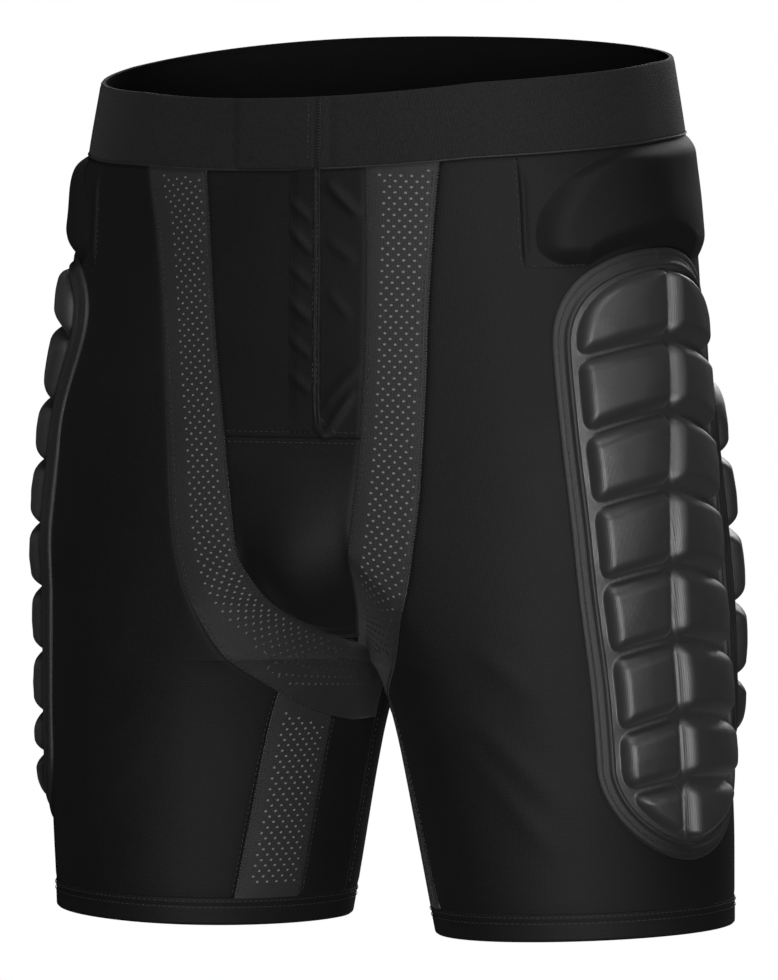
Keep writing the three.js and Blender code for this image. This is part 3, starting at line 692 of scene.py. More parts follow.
# %% Knit: columns of loops, as a height and a shade
knit_group, start, end = effect_group(
    "knit_loops",
    [("Cloth", VECTOR, None), ("Column", FLOAT, 0.0009), ("Row", FLOAT, 0.0011), ("Slant", FLOAT, 0.35)],
    ["Height", "Shade"],
)
split = knit_group.nodes.new("ShaderNodeSeparateXYZ")
knit_group.links.new(start.outputs["Cloth"], split.inputs[0])
column = calc(knit_group, "DIVIDE", split.outputs["X"], start.outputs["Column"])
row = calc(knit_group, "DIVIDE", split.outputs["Y"], start.outputs["Row"])
zigzag = calc(knit_group, "PINGPONG", column, 0.5)
lean = times(knit_group, zigzag, start.outputs["Slant"])
row = calc(knit_group, "ADD", row, lean)
wave, rib = (calc(knit_group, "SINE", times(knit_group, place, 2 * math.pi)) for place in (row, column))
both = calc(knit_group, "ADD", times(knit_group, wave, 0.5), times(knit_group, rib, 0.5))
height = calc(knit_group, "ADD", times(knit_group, both, 0.5), 0.5)
knit_group.links.new(height, end.inputs["Height"])
shade = calc(knit_group, "POWER", height, 0.7)
knit_group.links.new(shade, end.inputs["Shade"])
print("group", knit_group.name)

# %% Mottle: slow and fine unevenness of dyed cloth
mottle_group, start, end = effect_group(
    "mottle",
    [("Place", VECTOR, None), ("Fine", FLOAT, 900.0), ("Slow", FLOAT, 18.0)],
    ["Speckle", "Cloud"],
)
speckle = noise(mottle_group, start.outputs["Place"], start.outputs["Fine"], 3.0, 0.6)
cloud = noise(mottle_group, start.outputs["Place"], start.outputs["Slow"], 4.0, 0.55)
mottle_group.links.new(speckle, end.inputs["Speckle"])
mottle_group.links.new(cloud, end.inputs["Cloud"])
print("group", mottle_group.name)

# %% Ridge highlight and wear: raised parts painted lighter, partly a painted highlight on the ridges and partly lint and rubbed thread
RIDGE_CONTRAST = 14.0
ridge_highlight_and_wear_group, start, end = effect_group(
    "ridge_highlight_and_wear",
    [("Place", VECTOR, None), ("Amount", FLOAT, 0.4), ("Edge", FLOAT, 0.53)],
    ["Mask"],
)
geometry = ridge_highlight_and_wear_group.nodes.new("ShaderNodeNewGeometry")
# Convex places are painted lighter in patches: partly a painted highlight on the ridges, partly rubbed thread
# and lint.
above = calc(ridge_highlight_and_wear_group, "SUBTRACT", geometry.outputs["Pointiness"], start.outputs["Edge"])
ridge = times(ridge_highlight_and_wear_group, above, RIDGE_CONTRAST)
patchy = noise(ridge_highlight_and_wear_group, start.outputs["Place"], 120.0, 3.0, 0.6)
mask = times(ridge_highlight_and_wear_group, times(ridge_highlight_and_wear_group, ridge, patchy), start.outputs["Amount"])
clamped = ridge_highlight_and_wear_group.nodes.new("ShaderNodeClamp")
ridge_highlight_and_wear_group.links.new(mask, clamped.inputs[0])
ridge_highlight_and_wear_group.links.new(clamped.outputs[0], end.inputs["Mask"])
print("group", ridge_highlight_and_wear_group.name)


# %% A cloth material from those groups
def place_group(tree, group, **values):
    """Puts a group in a tree and sets its named inputs."""
    node = tree.nodes.new("ShaderNodeGroup")
    node.node_tree = group
    for label, value in values.items():
        feed(tree, node.inputs[label], value)
    return node


KNIT_RELIEF = 0.0003
LUMP_SHARE = 0.6
ROUGH_SPREAD = 0.2
SHEEN_ROUGHNESS = 0.45
SPECKLE_MIDDLE = 0.35


def cloth_finish(name, dark, light, column, row, slant, knit_share, bump, rough, specular, sheen,
                 speckle_share, ridge_highlight_and_wear_amount):
    """A knitted or woven cloth between two shades of grey. Sizes of the knit are in metres."""
    paint = bpy.data.materials.new(name)
    tree = shader_tree(paint)
    uv = tree.nodes.new("ShaderNodeUVMap")
    uv.uv_map = "cloth"
    place = tree.nodes.new("ShaderNodeTexCoord").outputs["Object"]
    knit = place_group(tree, knit_group, Cloth=uv.outputs[0], Column=column, Row=row, Slant=slant)
    mottle = place_group(tree, mottle_group, Place=place)
    ridge_highlight_and_wear_node = place_group(tree, ridge_highlight_and_wear_group, Place=place, Amount=ridge_highlight_and_wear_amount)
    grain = times(tree, knit.outputs["Shade"], knit_share)
    speckle = calc(tree, "SUBTRACT", mottle.outputs["Speckle"], SPECKLE_MIDDLE)
    grain = calc(tree, "ADD", grain, times(tree, speckle, speckle_share * 2))
    cloud = calc(tree, "SUBTRACT", mottle.outputs["Cloud"], 0.5)
    grain = calc(tree, "ADD", grain, times(tree, cloud, 0.5))
    # Adds the painted ridge highlight, with the rubbed wear, to the cloth's grey.
    grain = calc(tree, "ADD", grain, ridge_highlight_and_wear_node.outputs["Mask"])
    ramp = tree.nodes.new("ShaderNodeMix")
    ramp.data_type = "RGBA"
    ramp.clamp_factor = True
    tree.links.new(grain, ramp.inputs["Factor"])
    ramp.inputs["A"].default_value = (dark, dark, dark, 1)
    ramp.inputs["B"].default_value = (light, light, light, 1)
    rough_value = calc(tree, "ADD", times(tree, cloud, ROUGH_SPREAD), rough)
    surface = tree.nodes.new("ShaderNodeBsdfPrincipled")
    tree.links.new(ramp.outputs["Result"], surface.inputs["Base Color"])
    tree.links.new(rough_value, surface.inputs["Roughness"])
    surface.inputs["Specular IOR Level"].default_value = specular
    surface.inputs["Sheen Weight"].default_value = sheen
    surface.inputs["Sheen Roughness"].default_value = SHEEN_ROUGHNESS
    lumps = times(tree, mottle.outputs["Speckle"], LUMP_SHARE)
    relief = tree.nodes.new("ShaderNodeBump")
    relief.inputs["Strength"].default_value = bump
    relief.inputs["Distance"].default_value = KNIT_RELIEF
    tree.links.new(calc(tree, "ADD", knit.outputs["Height"], lumps), relief.inputs["Height"])
    tree.links.new(relief.outputs[0], surface.inputs["Normal"])
    out = tree.nodes.new("ShaderNodeOutputMaterial")
    tree.links.new(surface.outputs[0], out.inputs["Surface"])
    return paint


# dark, light, column, row, slant, knit share, bump, rough, specular, sheen, speckle share, ridge highlight
# and wear
FINISH_VALUES = {
    "shell_knit": (0.0026, 0.0066, 0.0009, 0.0011, 0.4, 0.5, 0.25, 0.62, 0.09, 0.01, 0.5, 0.4),
    "shell_inside": (0.003, 0.006, 0.0011, 0.0013, 0.2, 0.5, 0.3, 0.85, 0.06, 0.0, 0.5, 0.4),
    "waist_elastic": (0.0024, 0.009, 0.0016, 0.0009, 0.1, 0.5, 0.5, 0.8, 0.12, 0.04, 0.8, 0.4),
    "lap_elastic": (0.0024, 0.009, 0.0014, 0.0008, 0.1, 0.5, 0.5, 0.8, 0.12, 0.03, 0.7, 0.4),
    "mesh_knit": (0.0065, 0.015, 0.0008, 0.0009, 0.5, 0.5, 0.4, 0.6, 0.2, 0.05, 0.5, 0.4),
    "stripe_lining": (0.085, 0.15, 0.0008, 0.0008, 0.2, 0.3, 0.2, 0.7, 0.3, 0.0, 0.5, 0.4),
    "pad_cover": (0.010, 0.019, 0.0006, 0.0006, 0.0, 0.45, 0.25, 0.45, 0.48, 0.04, 0.5, 0.9),
    "pad_binding": (0.0045, 0.012, 0.0007, 0.0007, 1.0, 0.5, 0.4, 0.5, 0.3, 0.03, 0.5, 0.9),
    "seam_thread": (0.004, 0.012, 0.0004, 0.0004, 0.5, 0.5, 0.3, 0.55, 0.25, 0.02, 0.5, 0.4),
}
FINISHES = {name: cloth_finish(name, *values) for name, values in FINISH_VALUES.items()}
print("finishes:", sorted(FINISHES))


def dress(piece, finish, inside="shell_inside", stands_for=()):
    """Gives a piece its cloth, hangs it on the root and hides the plain solids that it stands for."""
    piece.data.materials.append(FINISHES[finish])
    piece.data.materials.append(FINISHES[inside])
    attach(piece, "root")
    if stands_for:
        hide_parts(*stands_for)


SIDES = (("left", 1), ("right", -1))

# %% [markdown]
# ## Waistband
# A wide elastic, closed in front by a lap with a folded end. Elastic is thicker than the
# knit, so its edges round over, and a thin piping runs along the seam below it.

# %% Elastic loop and its lap
BAND_PROUD = 0.6
BAND_WALL = 1.9
LAP_EDGE = 17
LAP_WIDTH = 51
LAP_LIFT = BAND_PROUD + SEAM_GAP
LAP_THICKNESS = 1.2
ELASTIC_RADIUS = 0.7
TOP_LINE = 1.6
RIB_PITCH = 1.7
# seed, wavelength and height of each piece's waves
BAND_WAVE = (3, 60, 0.18)
LAP_WAVE = (5, 34, 0.12)


def band_rounding(h, top, bottom, radius):
    """How far a thick edge rounds over, above and below."""
    edge = np.minimum(top - h, h - bottom)
    return -radius * (1 - np.sqrt(np.clip(1 - (1 - np.clip(edge / (2 * radius), 0, 1)) ** 2, 0, 1)))


share, hand = full_turn(560)
h = np.linspace(BAND_TOP, BAND_LOW, 44)[:, None]
g = around(h, share)
across = share * (front_length(h) + back_length(h)) * hand
outer = BAND_PROUD + band_rounding(h, BAND_TOP, BAND_LOW, ELASTIC_RADIUS)
outer = outer + ripple(across, h * 0.3, *BAND_WAVE) + valley(h - BAND_TOP + TOP_LINE, 0.7, 0.25)
ribs = np.exp(-(((across - LAP_EDGE - 4.2) / 2.4) ** 2))
outer = outer - ribs * (0.55 - 0.35 * np.sin(h * 2 * math.pi / RIB_PITCH))
band = sheet_shell("waistband_elastic", h, g, outer, outer - BAND_WALL, hand, loop=True)
dress(band, "waist_elastic", stands_for=["waistband"])

h = np.linspace(BAND_TOP - SEAM_GAP, BAND_LOW + SEAM_GAP, 44)[:, None]
distance = np.linspace(LAP_EDGE, LAP_EDGE - LAP_WIDTH, 110)[None, :]
outer = LAP_LIFT + LAP_THICKNESS + band_rounding(h, BAND_TOP, BAND_LOW, ELASTIC_RADIUS)
outer = outer + 0.5 * np.exp(-(((LAP_EDGE - distance) / 2.2) ** 2))
outer = outer + valley(LAP_EDGE - 3.6 - distance, 0.9, 0.3)
outer = outer - 1.1 * smooth((LAP_EDGE - LAP_WIDTH + 5 - distance) / 5) + ripple(distance, h, *LAP_WAVE)
lap = sheet_shell("waistband_lap_elastic", h, front_length(h) - distance, outer, LAP_LIFT - 0.2)
dress(lap, "lap_elastic", stands_for=["waistband_lap"])
print("waistband points:", len(band.data.vertices), "lap points:", len(lap.data.vertices))

# %% [markdown]
# ## Front
# Above, a flat yoke with a fly placket; below, a pouch with room in it. The fly's free edge
# is stitched twice, and the cloth beside it is pulled into short slanting folds.

# %% Yoke, fly and pouch
FLY_WIDTH = 18
FLY_BOTTOM_GAP = 2
LAYER_GAP = 0.5
POUCH_BULGE = 19
POUCH_TIP = float(height_at(0.96))
POUCH_DROOP = 30
FILM_ROUNDS = 260
SEAM_PULL = (1.6, 0.5)
YOKE_WAVE = (11, 55, 0.3)
FLAP_WAVE = (13, 30, 0.2)
POUCH_WAVE = (17, 40, 0.4)


def panel_edge(h, side):
    """Distance from the middle plane to a front panel's edge."""
    return side * np.maximum(front_length(h) - stripe_inner(h, side) - SEAM_GAP, SEAM_GAP)


def front_grid(rows, columns):
    """Heights and distances from the middle plane over the cloth between the stripes."""
    return spanned(rows, panel_edge(rows, 1), panel_edge(rows, -1), columns)


def stripe_distance(h, distance):
    """How far a place is from the nearer stripe."""
    return np.minimum(panel_edge(h, 1) - distance, distance - panel_edge(h, -1))


def film(points):
    """The same grid of places, drawn smooth like a stretched film whose edges stay sewn."""
    points = points.copy()
    for _ in range(FILM_ROUNDS):
        beside = points[1:-1, :-2] + points[1:-1, 2:]
        points[1:-1, 1:-1] = (beside + points[:-2, 1:-1] + points[2:, 1:-1]) / 4
    return points


# start, end, width and height of each fold
FLY_FOLDS = [
    [(19, -26), (38, -46), 2.6, 2.0], [(19, -58), (36, -72), 2.8, 1.1], [(20, -88), (34, -104), 2.8, 1.0],
    [(18, -166), (36, -142), 2.4, 1.9], [(18, -150), (38, -130), 2.8, 1.3],
    [(12, -158), (24, -172), 1.6, 1.2],
]
FLAP_FOLDS = [
    [(-3, -34), (14, -50), 2.2, 1.4], [(-3, -50), (14, -68), 2.4, 1.7], [(-3, -72), (14, -87), 2.2, 1.3],
    [(-3, -92), (14, -106), 2.4, 1.7], [(-3, -112), (14, -126), 2.2, 1.4], [(-3, -132), (14, -144), 2.2, 1.3],
]
POUCH_FOLDS = [[(-22, -246), (16, -264), 2.6, 1.6], [(-4, -262), (16, -270), 2.2, 1.3]]

rows = rows_between(BAND_LOW - SEAM_GAP, YOKE_SEAM - 0.6)
h, distance, share = front_grid(rows, 150)
outer = valley(stripe_distance(h, distance), *SEAM_PULL) + 0.25 - 0.35 * smooth((YOKE_SEAM + 0.8 - h) / 1.4)
outer = outer + valley(BAND_LOW - h, 1.5, 0.4)
outer = outer + ripple(distance, h, *YOKE_WAVE) * smooth((h - YOKE_SEAM) / 16)
outer = folded(outer, distance, h, FLY_FOLDS)
yoke = sheet_shell("yoke_panel", h, front_length(h) - distance, outer, outer - WALL)
dress(yoke, "shell_knit", stands_for=["front_panel"])

rows = rows_between(BAND_LOW - SEAM_GAP, YOKE_SEAM + SEAM_GAP + FLY_BOTTOM_GAP)
share = np.linspace(0, 1, 60)[None, :]
distance = LAP_EDGE - FLY_WIDTH * share
h = rows[:, None] + 0 * share
beads = sum(np.exp(-(((LAP_EDGE - line - distance) / 0.75) ** 2)) for line in (0.9, 3.1))
outer = LAYER_GAP + 0.6 + 1.1 * beads - 0.6 * smooth((share - 0.66) / 0.34) + ripple(distance, h, *FLAP_WAVE)
outer = folded(outer, distance, h, FLAP_FOLDS)
outer = 0.3 + (outer - 0.3) * smooth((h - rows[-1]) / 16)
flap = sheet_shell("fly_placket", h, front_length(h) - distance, outer, 0.1)
dress(flap, "shell_knit", stands_for=["fly_flap"])

rows = rows_between(YOKE_SEAM + 2.0, POUCH_TIP)
h, distance, share = front_grid(rows, 130)
down = np.clip((YOKE_SEAM - h) / (YOKE_SEAM - POUCH_TIP), 0, 1)
body = body_point(h, front_length(h) - distance)
bulge = POUCH_BULGE * np.sin(math.pi * share) ** 0.8 * np.sin(math.pi * down ** 1.9) ** 0.8
droop = math.radians(POUCH_DROOP) * down
settled = smooth((YOKE_SEAM - h) / 14)[..., None]
push = (film(body) - body) * settled + np.stack([0 * h, -bulge * np.cos(droop), -bulge * np.sin(droop)], -1)
outer = valley(stripe_distance(h, distance), *SEAM_PULL) - 0.5 * smooth((h - YOKE_SEAM + 1) / 2)
outer = outer + ripple(distance, h, *POUCH_WAVE) * smooth((YOKE_SEAM - h) / 16)
outer = folded(outer, distance, h, POUCH_FOLDS)
pouch = sheet_shell("pouch", h, front_length(h) - distance, outer, outer - WALL, push=push)
dress(pouch, "shell_knit", stands_for=["pouch_panel"])
print("front pieces:", yoke.name, flap.name, pouch.name)

# %% [markdown]
# ## Leg panels, inner legs and hems
# Each leg panel is one large piece from the stripe round the side to a seam at the back, where
# a narrower seat panel takes over. Seams pull the cloth in a little along every edge, and the
# hem is turned up and stitched.

# %% Large panels of the legs
HEM_WALL = 2.4
LEG_WAVES = {1: (21, 80, 0.45), -1: (22, 80, 0.45)}
INNER_LEG_WAVE = (31, 50, 0.3)
HEM_WAVE = (41, 45, 0.2)
LEG_FOLDS = [
    [(150, -300), (96, -352), 7, 1.0], [(150, -318), (100, -378), 6, 0.8], [(140, -268), (104, -300), 7, 0.8],
    [(-120, -330), (-60, -372), 7, 0.9], [(-130, -300), (-70, -350), 8, 0.8],
]


def leg_panels(label, side):
    """The large panel from the stripe to the seat seam, and the seat panel behind it."""
    rows = rows_between(BAND_LOW - SEAM_GAP, HEM_SEAM + SEAM_GAP)
    stripe = stripe_outer(rows, side)
    front = np.where(rows < CROTCH, np.minimum(mesh_strip_front(rows), stripe), stripe) - SEAM_GAP
    seam = seat_line(rows)
    back = SEAM_GAP - back_length(rows)
    panels = [("leg_cloth", "leg_panel", front, seam + SEAM_GAP, 150)]
    panels.append(("seat_cloth", "seat_panel", seam - SEAM_GAP, back, 60))
    for name, node, first, last, columns in panels:
        h, g, _ = spanned(rows, first, last, columns)
        outer = valley(front[:, None] - g, 1.8, 0.6) + valley(g - back[:, None], 1.6, 0.6)
        outer = outer + valley(BAND_LOW - h, 1.6, 0.4) + valley(h - HEM_SEAM, 1.4, 0.3)
        outer = outer + valley(g - seam[:, None], 1.2, 0.5) + ripple(g, h, *LEG_WAVES[side])
        outer = folded(outer, g, h, LEG_FOLDS)
        piece = sheet_shell(f"{name}_{label}", h, g, outer, outer - WALL, side)
        dress(piece, "shell_knit", stands_for=[f"{node}_{label}"])


def inner_leg(label, side):
    """The plain cloth between the mesh strip and the inseam."""
    share = np.linspace(0, 1, 40)[None, :]
    distance = SEAM_GAP + (MESH_STRIP_START - 2 * SEAM_GAP) * share
    top = stripe_edge_height(distance, side) - 2 * SEAM_GAP
    h = top + (HEM_SEAM + SEAM_GAP - top) * np.linspace(0, 1, 90)[:, None]
    edge = np.minimum(distance, MESH_STRIP_START - distance) + 0 * h
    outer = valley(edge, *SEAM_PULL) + valley(top - h, *SEAM_PULL) + ripple(distance, h, *INNER_LEG_WAVE)
    piece = sheet_shell(f"inner_leg_cloth_{label}", h, front_length(h) - distance, outer, outer - WALL, side)
    dress(piece, "shell_knit", stands_for=[f"inner_leg_panel_{label}"])


def hem(label, side):
    """The turned hem, a closed band round the leg."""
    h = np.linspace(HEM_SEAM, HEM, 22)[:, None]
    g = around(h, np.arange(300)[None, :] / 300)
    outer = SEAM_GAP + band_rounding(h, HEM_SEAM + 1, HEM, 0.8) + valley(h - HEM - 10, 0.7, 0.25)
    outer = outer + ripple(g, h, *HEM_WAVE)
    piece = sheet_shell(f"hem_{label}", h, g, outer, outer - HEM_WALL, side, loop=True)
    dress(piece, "shell_knit", stands_for=[f"hem_band_{label}"])


for label, side in SIDES:
    leg_panels(label, side)
    inner_leg(label, side)
    hem(label, side)
print("leg pieces made")

# %% [markdown]
# ## Seam allowances
# Where two panels meet, their edges are turned in and sewn flat. A strip of doubled cloth
# lies behind every seam, so no light comes through it.

# %% Strips behind the seams
ALLOWANCE = 5.8
STRIP_TOP = 0.25 - WALL
STRIP_LOW = -WALL - 0.4


def seam_strip(name, h, g, side=1, loop=False, level=False):
    """A strip behind a seam: beside a seam that runs down, or over and under a level one."""
    share = np.linspace(-1, 1, 5)
    if level:
        h = h - ALLOWANCE * share[:, None]
    else:
        h, g = h[:, None], g[:, None] + ALLOWANCE * share
    piece = sheet_shell(name, h, g, STRIP_TOP, STRIP_LOW, side, loop=loop)
    dress(piece, "shell_inside")


for label, side in SIDES:
    down = rows_between(BAND_LOW - 1, float(height_at(STRIPE_END)))
    seam_strip(f"stripe_outer_allowance_{label}", down, stripe_outer(down, side), side)
    down = rows_between(BAND_LOW - 1, float(height_at(0.97)))
    seam_strip(f"stripe_inner_allowance_{label}", down, stripe_inner(down, side), side)
    for place, distance in (("front", MESH_STRIP_START + MESH_STRIP_WIDTH), ("back", MESH_STRIP_START)):
        down = np.linspace(float(stripe_edge_height(distance, side)) + 1, HEM_SEAM, 60)
        seam_strip(f"thigh_mesh_{place}_allowance_{label}", down, front_length(down) - distance, side)
    down = rows_between(BAND_LOW - 1, HEM_SEAM)
    seam_strip(f"seat_allowance_{label}", down, seat_line(down), side)
    down = rows_between(CROTCH - 1, HEM_SEAM)
    seam_strip(f"inseam_allowance_{label}", down, front_length(down), side)
    share = np.arange(300) / 300
    seam_strip(f"hem_allowance_{label}", HEM_SEAM, around(HEM_SEAM, share), side, loop=True, level=True)
down = rows_between(BAND_LOW - 1, CROTCH + 1)
seam_strip("back_middle_allowance", down, -back_length(down))
yoke_ends = [float(panel_edge(YOKE_SEAM, side)) for _, side in SIDES]
yoke_girth = front_length(YOKE_SEAM) - np.linspace(*yoke_ends, 60)
seam_strip("yoke_allowance", YOKE_SEAM, yoke_girth, level=True)
share, hand = full_turn(560)
seam_strip("waist_allowance", BAND_LOW, around(BAND_LOW, share), hand, loop=True, level=True)
print("seam strips:", sum("allowance" in p.name for p in PIECES))

# %% [markdown]
# ## Mesh
# The stripes and the strip inside the thigh are an open mesh over a pale lining, which shows
# as a bright dot in each hole. The holes are real: the outline and the rings of the holes are
# joined into triangles by a constrained triangulation in the flat, and then laid on the body.

# %% Holes laid out on the flat cloth
HOLE_ACROSS = 5.7
HOLE_ALONG = 5.6
HOLE_HALF_WIDTH = 0.88
HOLE_HALF_HEIGHT = 0.62
MESH_THICKNESS = 0.22
LINING_GAP = 0.08
LINING_WALL = 0.6
MESH_PULL = (1.3, 0.35)
LINING_PULL = (4.5, 0.7)
RING = np.array([(math.cos(k * math.pi / 4), math.sin(k * math.pi / 4)) for k in range(8)])
BATCH = 4000


def flat_mesh(outline, holes, extra, cosine, sine):
    """Points and triangles of a flat outline with oval holes. All sizes are in millimetres. Where a
    strip runs aslant, its flat plan is sheared, and each hole's cosine and sine undo that."""
    ring = RING * [HOLE_HALF_WIDTH, HOLE_HALF_HEIGHT]
    across = ring[None, :, 0] / sine[:, None]
    along = ring[None, :, 1] - across * cosine[:, None]
    rings = (holes[:, None, :] + np.stack([across, along], -1)).reshape(-1, 2)
    points = np.r_[outline, rings, extra]
    edge = np.c_[np.arange(len(outline)), np.roll(np.arange(len(outline)), -1)]
    first = len(outline) + 8 * np.arange(len(holes))[:, None]
    ring_edges = np.stack([first + np.arange(8), first + (np.arange(8) + 1) % 8], -1).reshape(-1, 2)
    edges = np.r_[edge, ring_edges].tolist()
    made = delaunay_2d_cdt([Vector(p) for p in points.tolist()], edges, [], 0, 1e-6)
    spots = np.array([tuple(p) for p in made[0]])
    faces = np.array(made[2])
    middle = spots[faces].mean(axis=1)
    inside = within(outline, middle)
    if len(holes):
        for start in range(0, len(middle), BATCH):
            part = middle[start:start + BATCH]
            gap = part[:, None, :] - holes[None]
            wide = gap[..., 0] * sine / HOLE_HALF_WIDTH
            high = (gap[..., 1] + gap[..., 0] * cosine) / HOLE_HALF_HEIGHT
            inside[start:start + BATCH] &= (wide * wide + high * high > 0.8).all(axis=1)
    return spots, faces[inside]


def within(outline, points):
    """Whether points are inside a closed outline."""
    x, y = points[:, 0], points[:, 1]
    inside = np.zeros(len(points), bool)
    for (x1, y1), (x2, y2) in zip(outline, np.roll(outline, -1, axis=0)):
        if y1 == y2:
            continue
        crossing = (y1 > y) != (y2 > y)
        inside ^= crossing & (x < (x2 - x1) * (y - y1) / (y2 - y1) + x1)
    return inside


def open_sheet(name, spots, faces, top, low):
    """A closed sheet from flat triangles: their places above and below, and walls at every edge. The
    walls keep the cloth's own shading, or every hole would look like a dimple."""
    count = len(spots)
    edges = np.concatenate([faces[:, [0, 1]], faces[:, [1, 2]], faces[:, [2, 0]]])
    keys = edges[:, 0] * count + edges[:, 1]
    free = edges[~np.isin(keys, edges[:, 1] * count + edges[:, 0])]
    a, b = free[:, 0], free[:, 1]
    walls = np.concatenate([np.c_[b, a, a + count], np.c_[b, a + count, b + count]])
    triangles = np.concatenate([faces, faces[:, ::-1] + count, walls])
    inside = np.repeat([False, True, False], [len(faces), len(faces), len(walls)])
    points = np.concatenate([top, low])
    used, index = np.unique(triangles, return_inverse=True)
    uv = np.concatenate([spots, spots]) * MM
    corners = top[faces]
    facing = np.cross(corners[:, 1] - corners[:, 0], corners[:, 2] - corners[:, 0])
    normals = np.zeros_like(top)
    for corner in range(3):
        np.add.at(normals, faces[:, corner], facing)
    normals /= np.maximum(np.linalg.norm(normals, axis=1, keepdims=True), 1e-12)
    normals = np.concatenate([normals, -normals])[used]
    return build_piece(name, points[used], index.reshape(-1, 3), uv[used], inside, normals=normals)


def lattice(low, high):
    """Centres of staggered holes over a rectangle."""
    across = np.arange(math.floor(low[0] / HOLE_ACROSS * 2), math.ceil(high[0] / HOLE_ACROSS * 2) + 1)
    along = np.arange(math.floor(low[1] / HOLE_ALONG * 2), math.ceil(high[1] / HOLE_ALONG * 2) + 1)
    a, v = np.meshgrid(across, along)
    staggered = (a + v) % 2 == 0
    return np.c_[a[staggered] * HOLE_ACROSS / 2, v[staggered] * HOLE_ALONG / 2]


def lay_mesh(name, node, side, points, faces, h, g, edge):
    """Lays a flat mesh on the body. edge is each point's distance from the mesh's nearer edge."""
    height = valley(edge, *MESH_PULL)
    over, under = (raised(h, g, height - depth, side) for depth in (0, MESH_THICKNESS))
    piece = open_sheet(name, points, faces, over, under)
    dress(piece, "mesh_knit", inside="mesh_knit", stands_for=[node])


def lay_lining(name, side, h, g, edge, sink=0.0):
    """The pale cloth close behind a mesh."""
    low = valley(edge, *LINING_PULL) - MESH_THICKNESS - LINING_GAP - sink
    lining = sheet_shell(name, h, g, low, low - LINING_WALL, side)
    dress(lining, "stripe_lining")


print("hole pitch", HOLE_ACROSS, "by", HOLE_ALONG, "mm")

# %% Mesh stripes of the front
STRIPE_BORDERS = {1: (2.6, 7.5), -1: (9.5, 3.0)}
STRIPE_TAIL = {1: 78, -1: 34}
MARK_STEP = 2.5
CROTCH_SINK = 2.5
CROTCH_SINK_REACH = 22


def mesh_stripe(label, side):
    """A mesh stripe is laid out flat along its middle line, which turns under between the legs."""
    rows = rows_between(BAND_LOW - SEAM_GAP, float(height_at(STRIPE_END)))
    inner = np.where(rows < height_at(0.97), front_length(rows), stripe_inner(rows, side)) - SEAM_GAP
    outer = np.minimum(stripe_outer(rows, side) + SEAM_GAP, inner - 4 * SEAM_GAP)
    centre, half = (inner + outer) / 2, (inner - outer) / 2
    line = body_point(rows, centre)
    run = np.r_[0, np.cumsum(np.linalg.norm(np.diff(line, axis=0), axis=1))]
    web = run[(rows > CROTCH + 0.3) & (rows < CROTCH + 14)]
    marks = np.unique(np.r_[np.linspace(0, run[-1], int(run[-1] / MARK_STEP)), web])
    marks = marks[np.diff(marks, prepend=-1.0) > 0.1]
    width = np.interp(marks, run, half)
    top = np.linspace(-width[0], width[0], 14)[1:-1]
    outline = np.r_[np.c_[-width, marks][::-1], np.c_[top, 0 * top], np.c_[width, marks]]
    ahead = np.gradient(line, axis=0)
    ahead /= np.linalg.norm(ahead, axis=1, keepdims=True)
    outward = body_point(rows, centre - 1) - body_point(rows, centre + 1)
    outward /= np.linalg.norm(outward, axis=1, keepdims=True)
    cosine = np.clip((ahead * outward).sum(axis=1), -0.9, 0.9)
    sine = np.sqrt(1 - cosine ** 2)
    wide, high = (lattice((-width.max(), -40), (width.max(), run[-1] + 40))).T
    along = high.copy()
    for _ in range(8):
        across = wide / np.interp(along, run, sine)
        along = high - across * np.interp(along, run, cosine)
    spots = np.c_[across, along]
    room = np.interp(along, run, half)
    slant = np.interp(along, run, sine)
    outer_border, inner_border = STRIPE_BORDERS[side]
    kept = ((room - across) * slant > outer_border) & ((room + across) * slant > inner_border)
    kept &= (along > 4) & (along < run[-1] - STRIPE_TAIL[side])
    bare = (np.abs(across) < room - 1) & (along > 1) & (along < run[-1] - 1) & ~kept
    lean = np.interp(along[kept], run, cosine)
    points, faces = flat_mesh(outline, spots[kept], spots[bare], lean, slant[kept])
    h = np.interp(points[:, 1], run, rows)
    g = np.interp(points[:, 1], run, centre) - points[:, 0]
    edge = np.interp(points[:, 1], run, half) - np.abs(points[:, 0])
    name, node, width = f"mesh_stripe_knit_{label}", f"mesh_stripe_{label}", (2 * half * sine).max()
    lay_mesh(name, node, side, points, faces, h, g, edge)
    share = np.linspace(-1, 1, 60)[None, :]
    grid = centre[:, None] - half[:, None] * share
    sink = CROTCH_SINK * np.exp(-(((rows - CROTCH) / CROTCH_SINK_REACH) ** 2))[:, None]
    lining_edge = half[:, None] * (1 - np.abs(share))
    lay_lining(f"mesh_stripe_lining_{label}", side, rows[:, None], grid, lining_edge, sink)
    return int(kept.sum())


print("holes in the stripes:", [mesh_stripe(label, side) for label, side in SIDES])

# %% Mesh strips inside the thighs
BACK_BORDER = 4.5
FRONT_BORDER = 5.5
END_BORDER = 6
BARE_MARGIN = 1.5


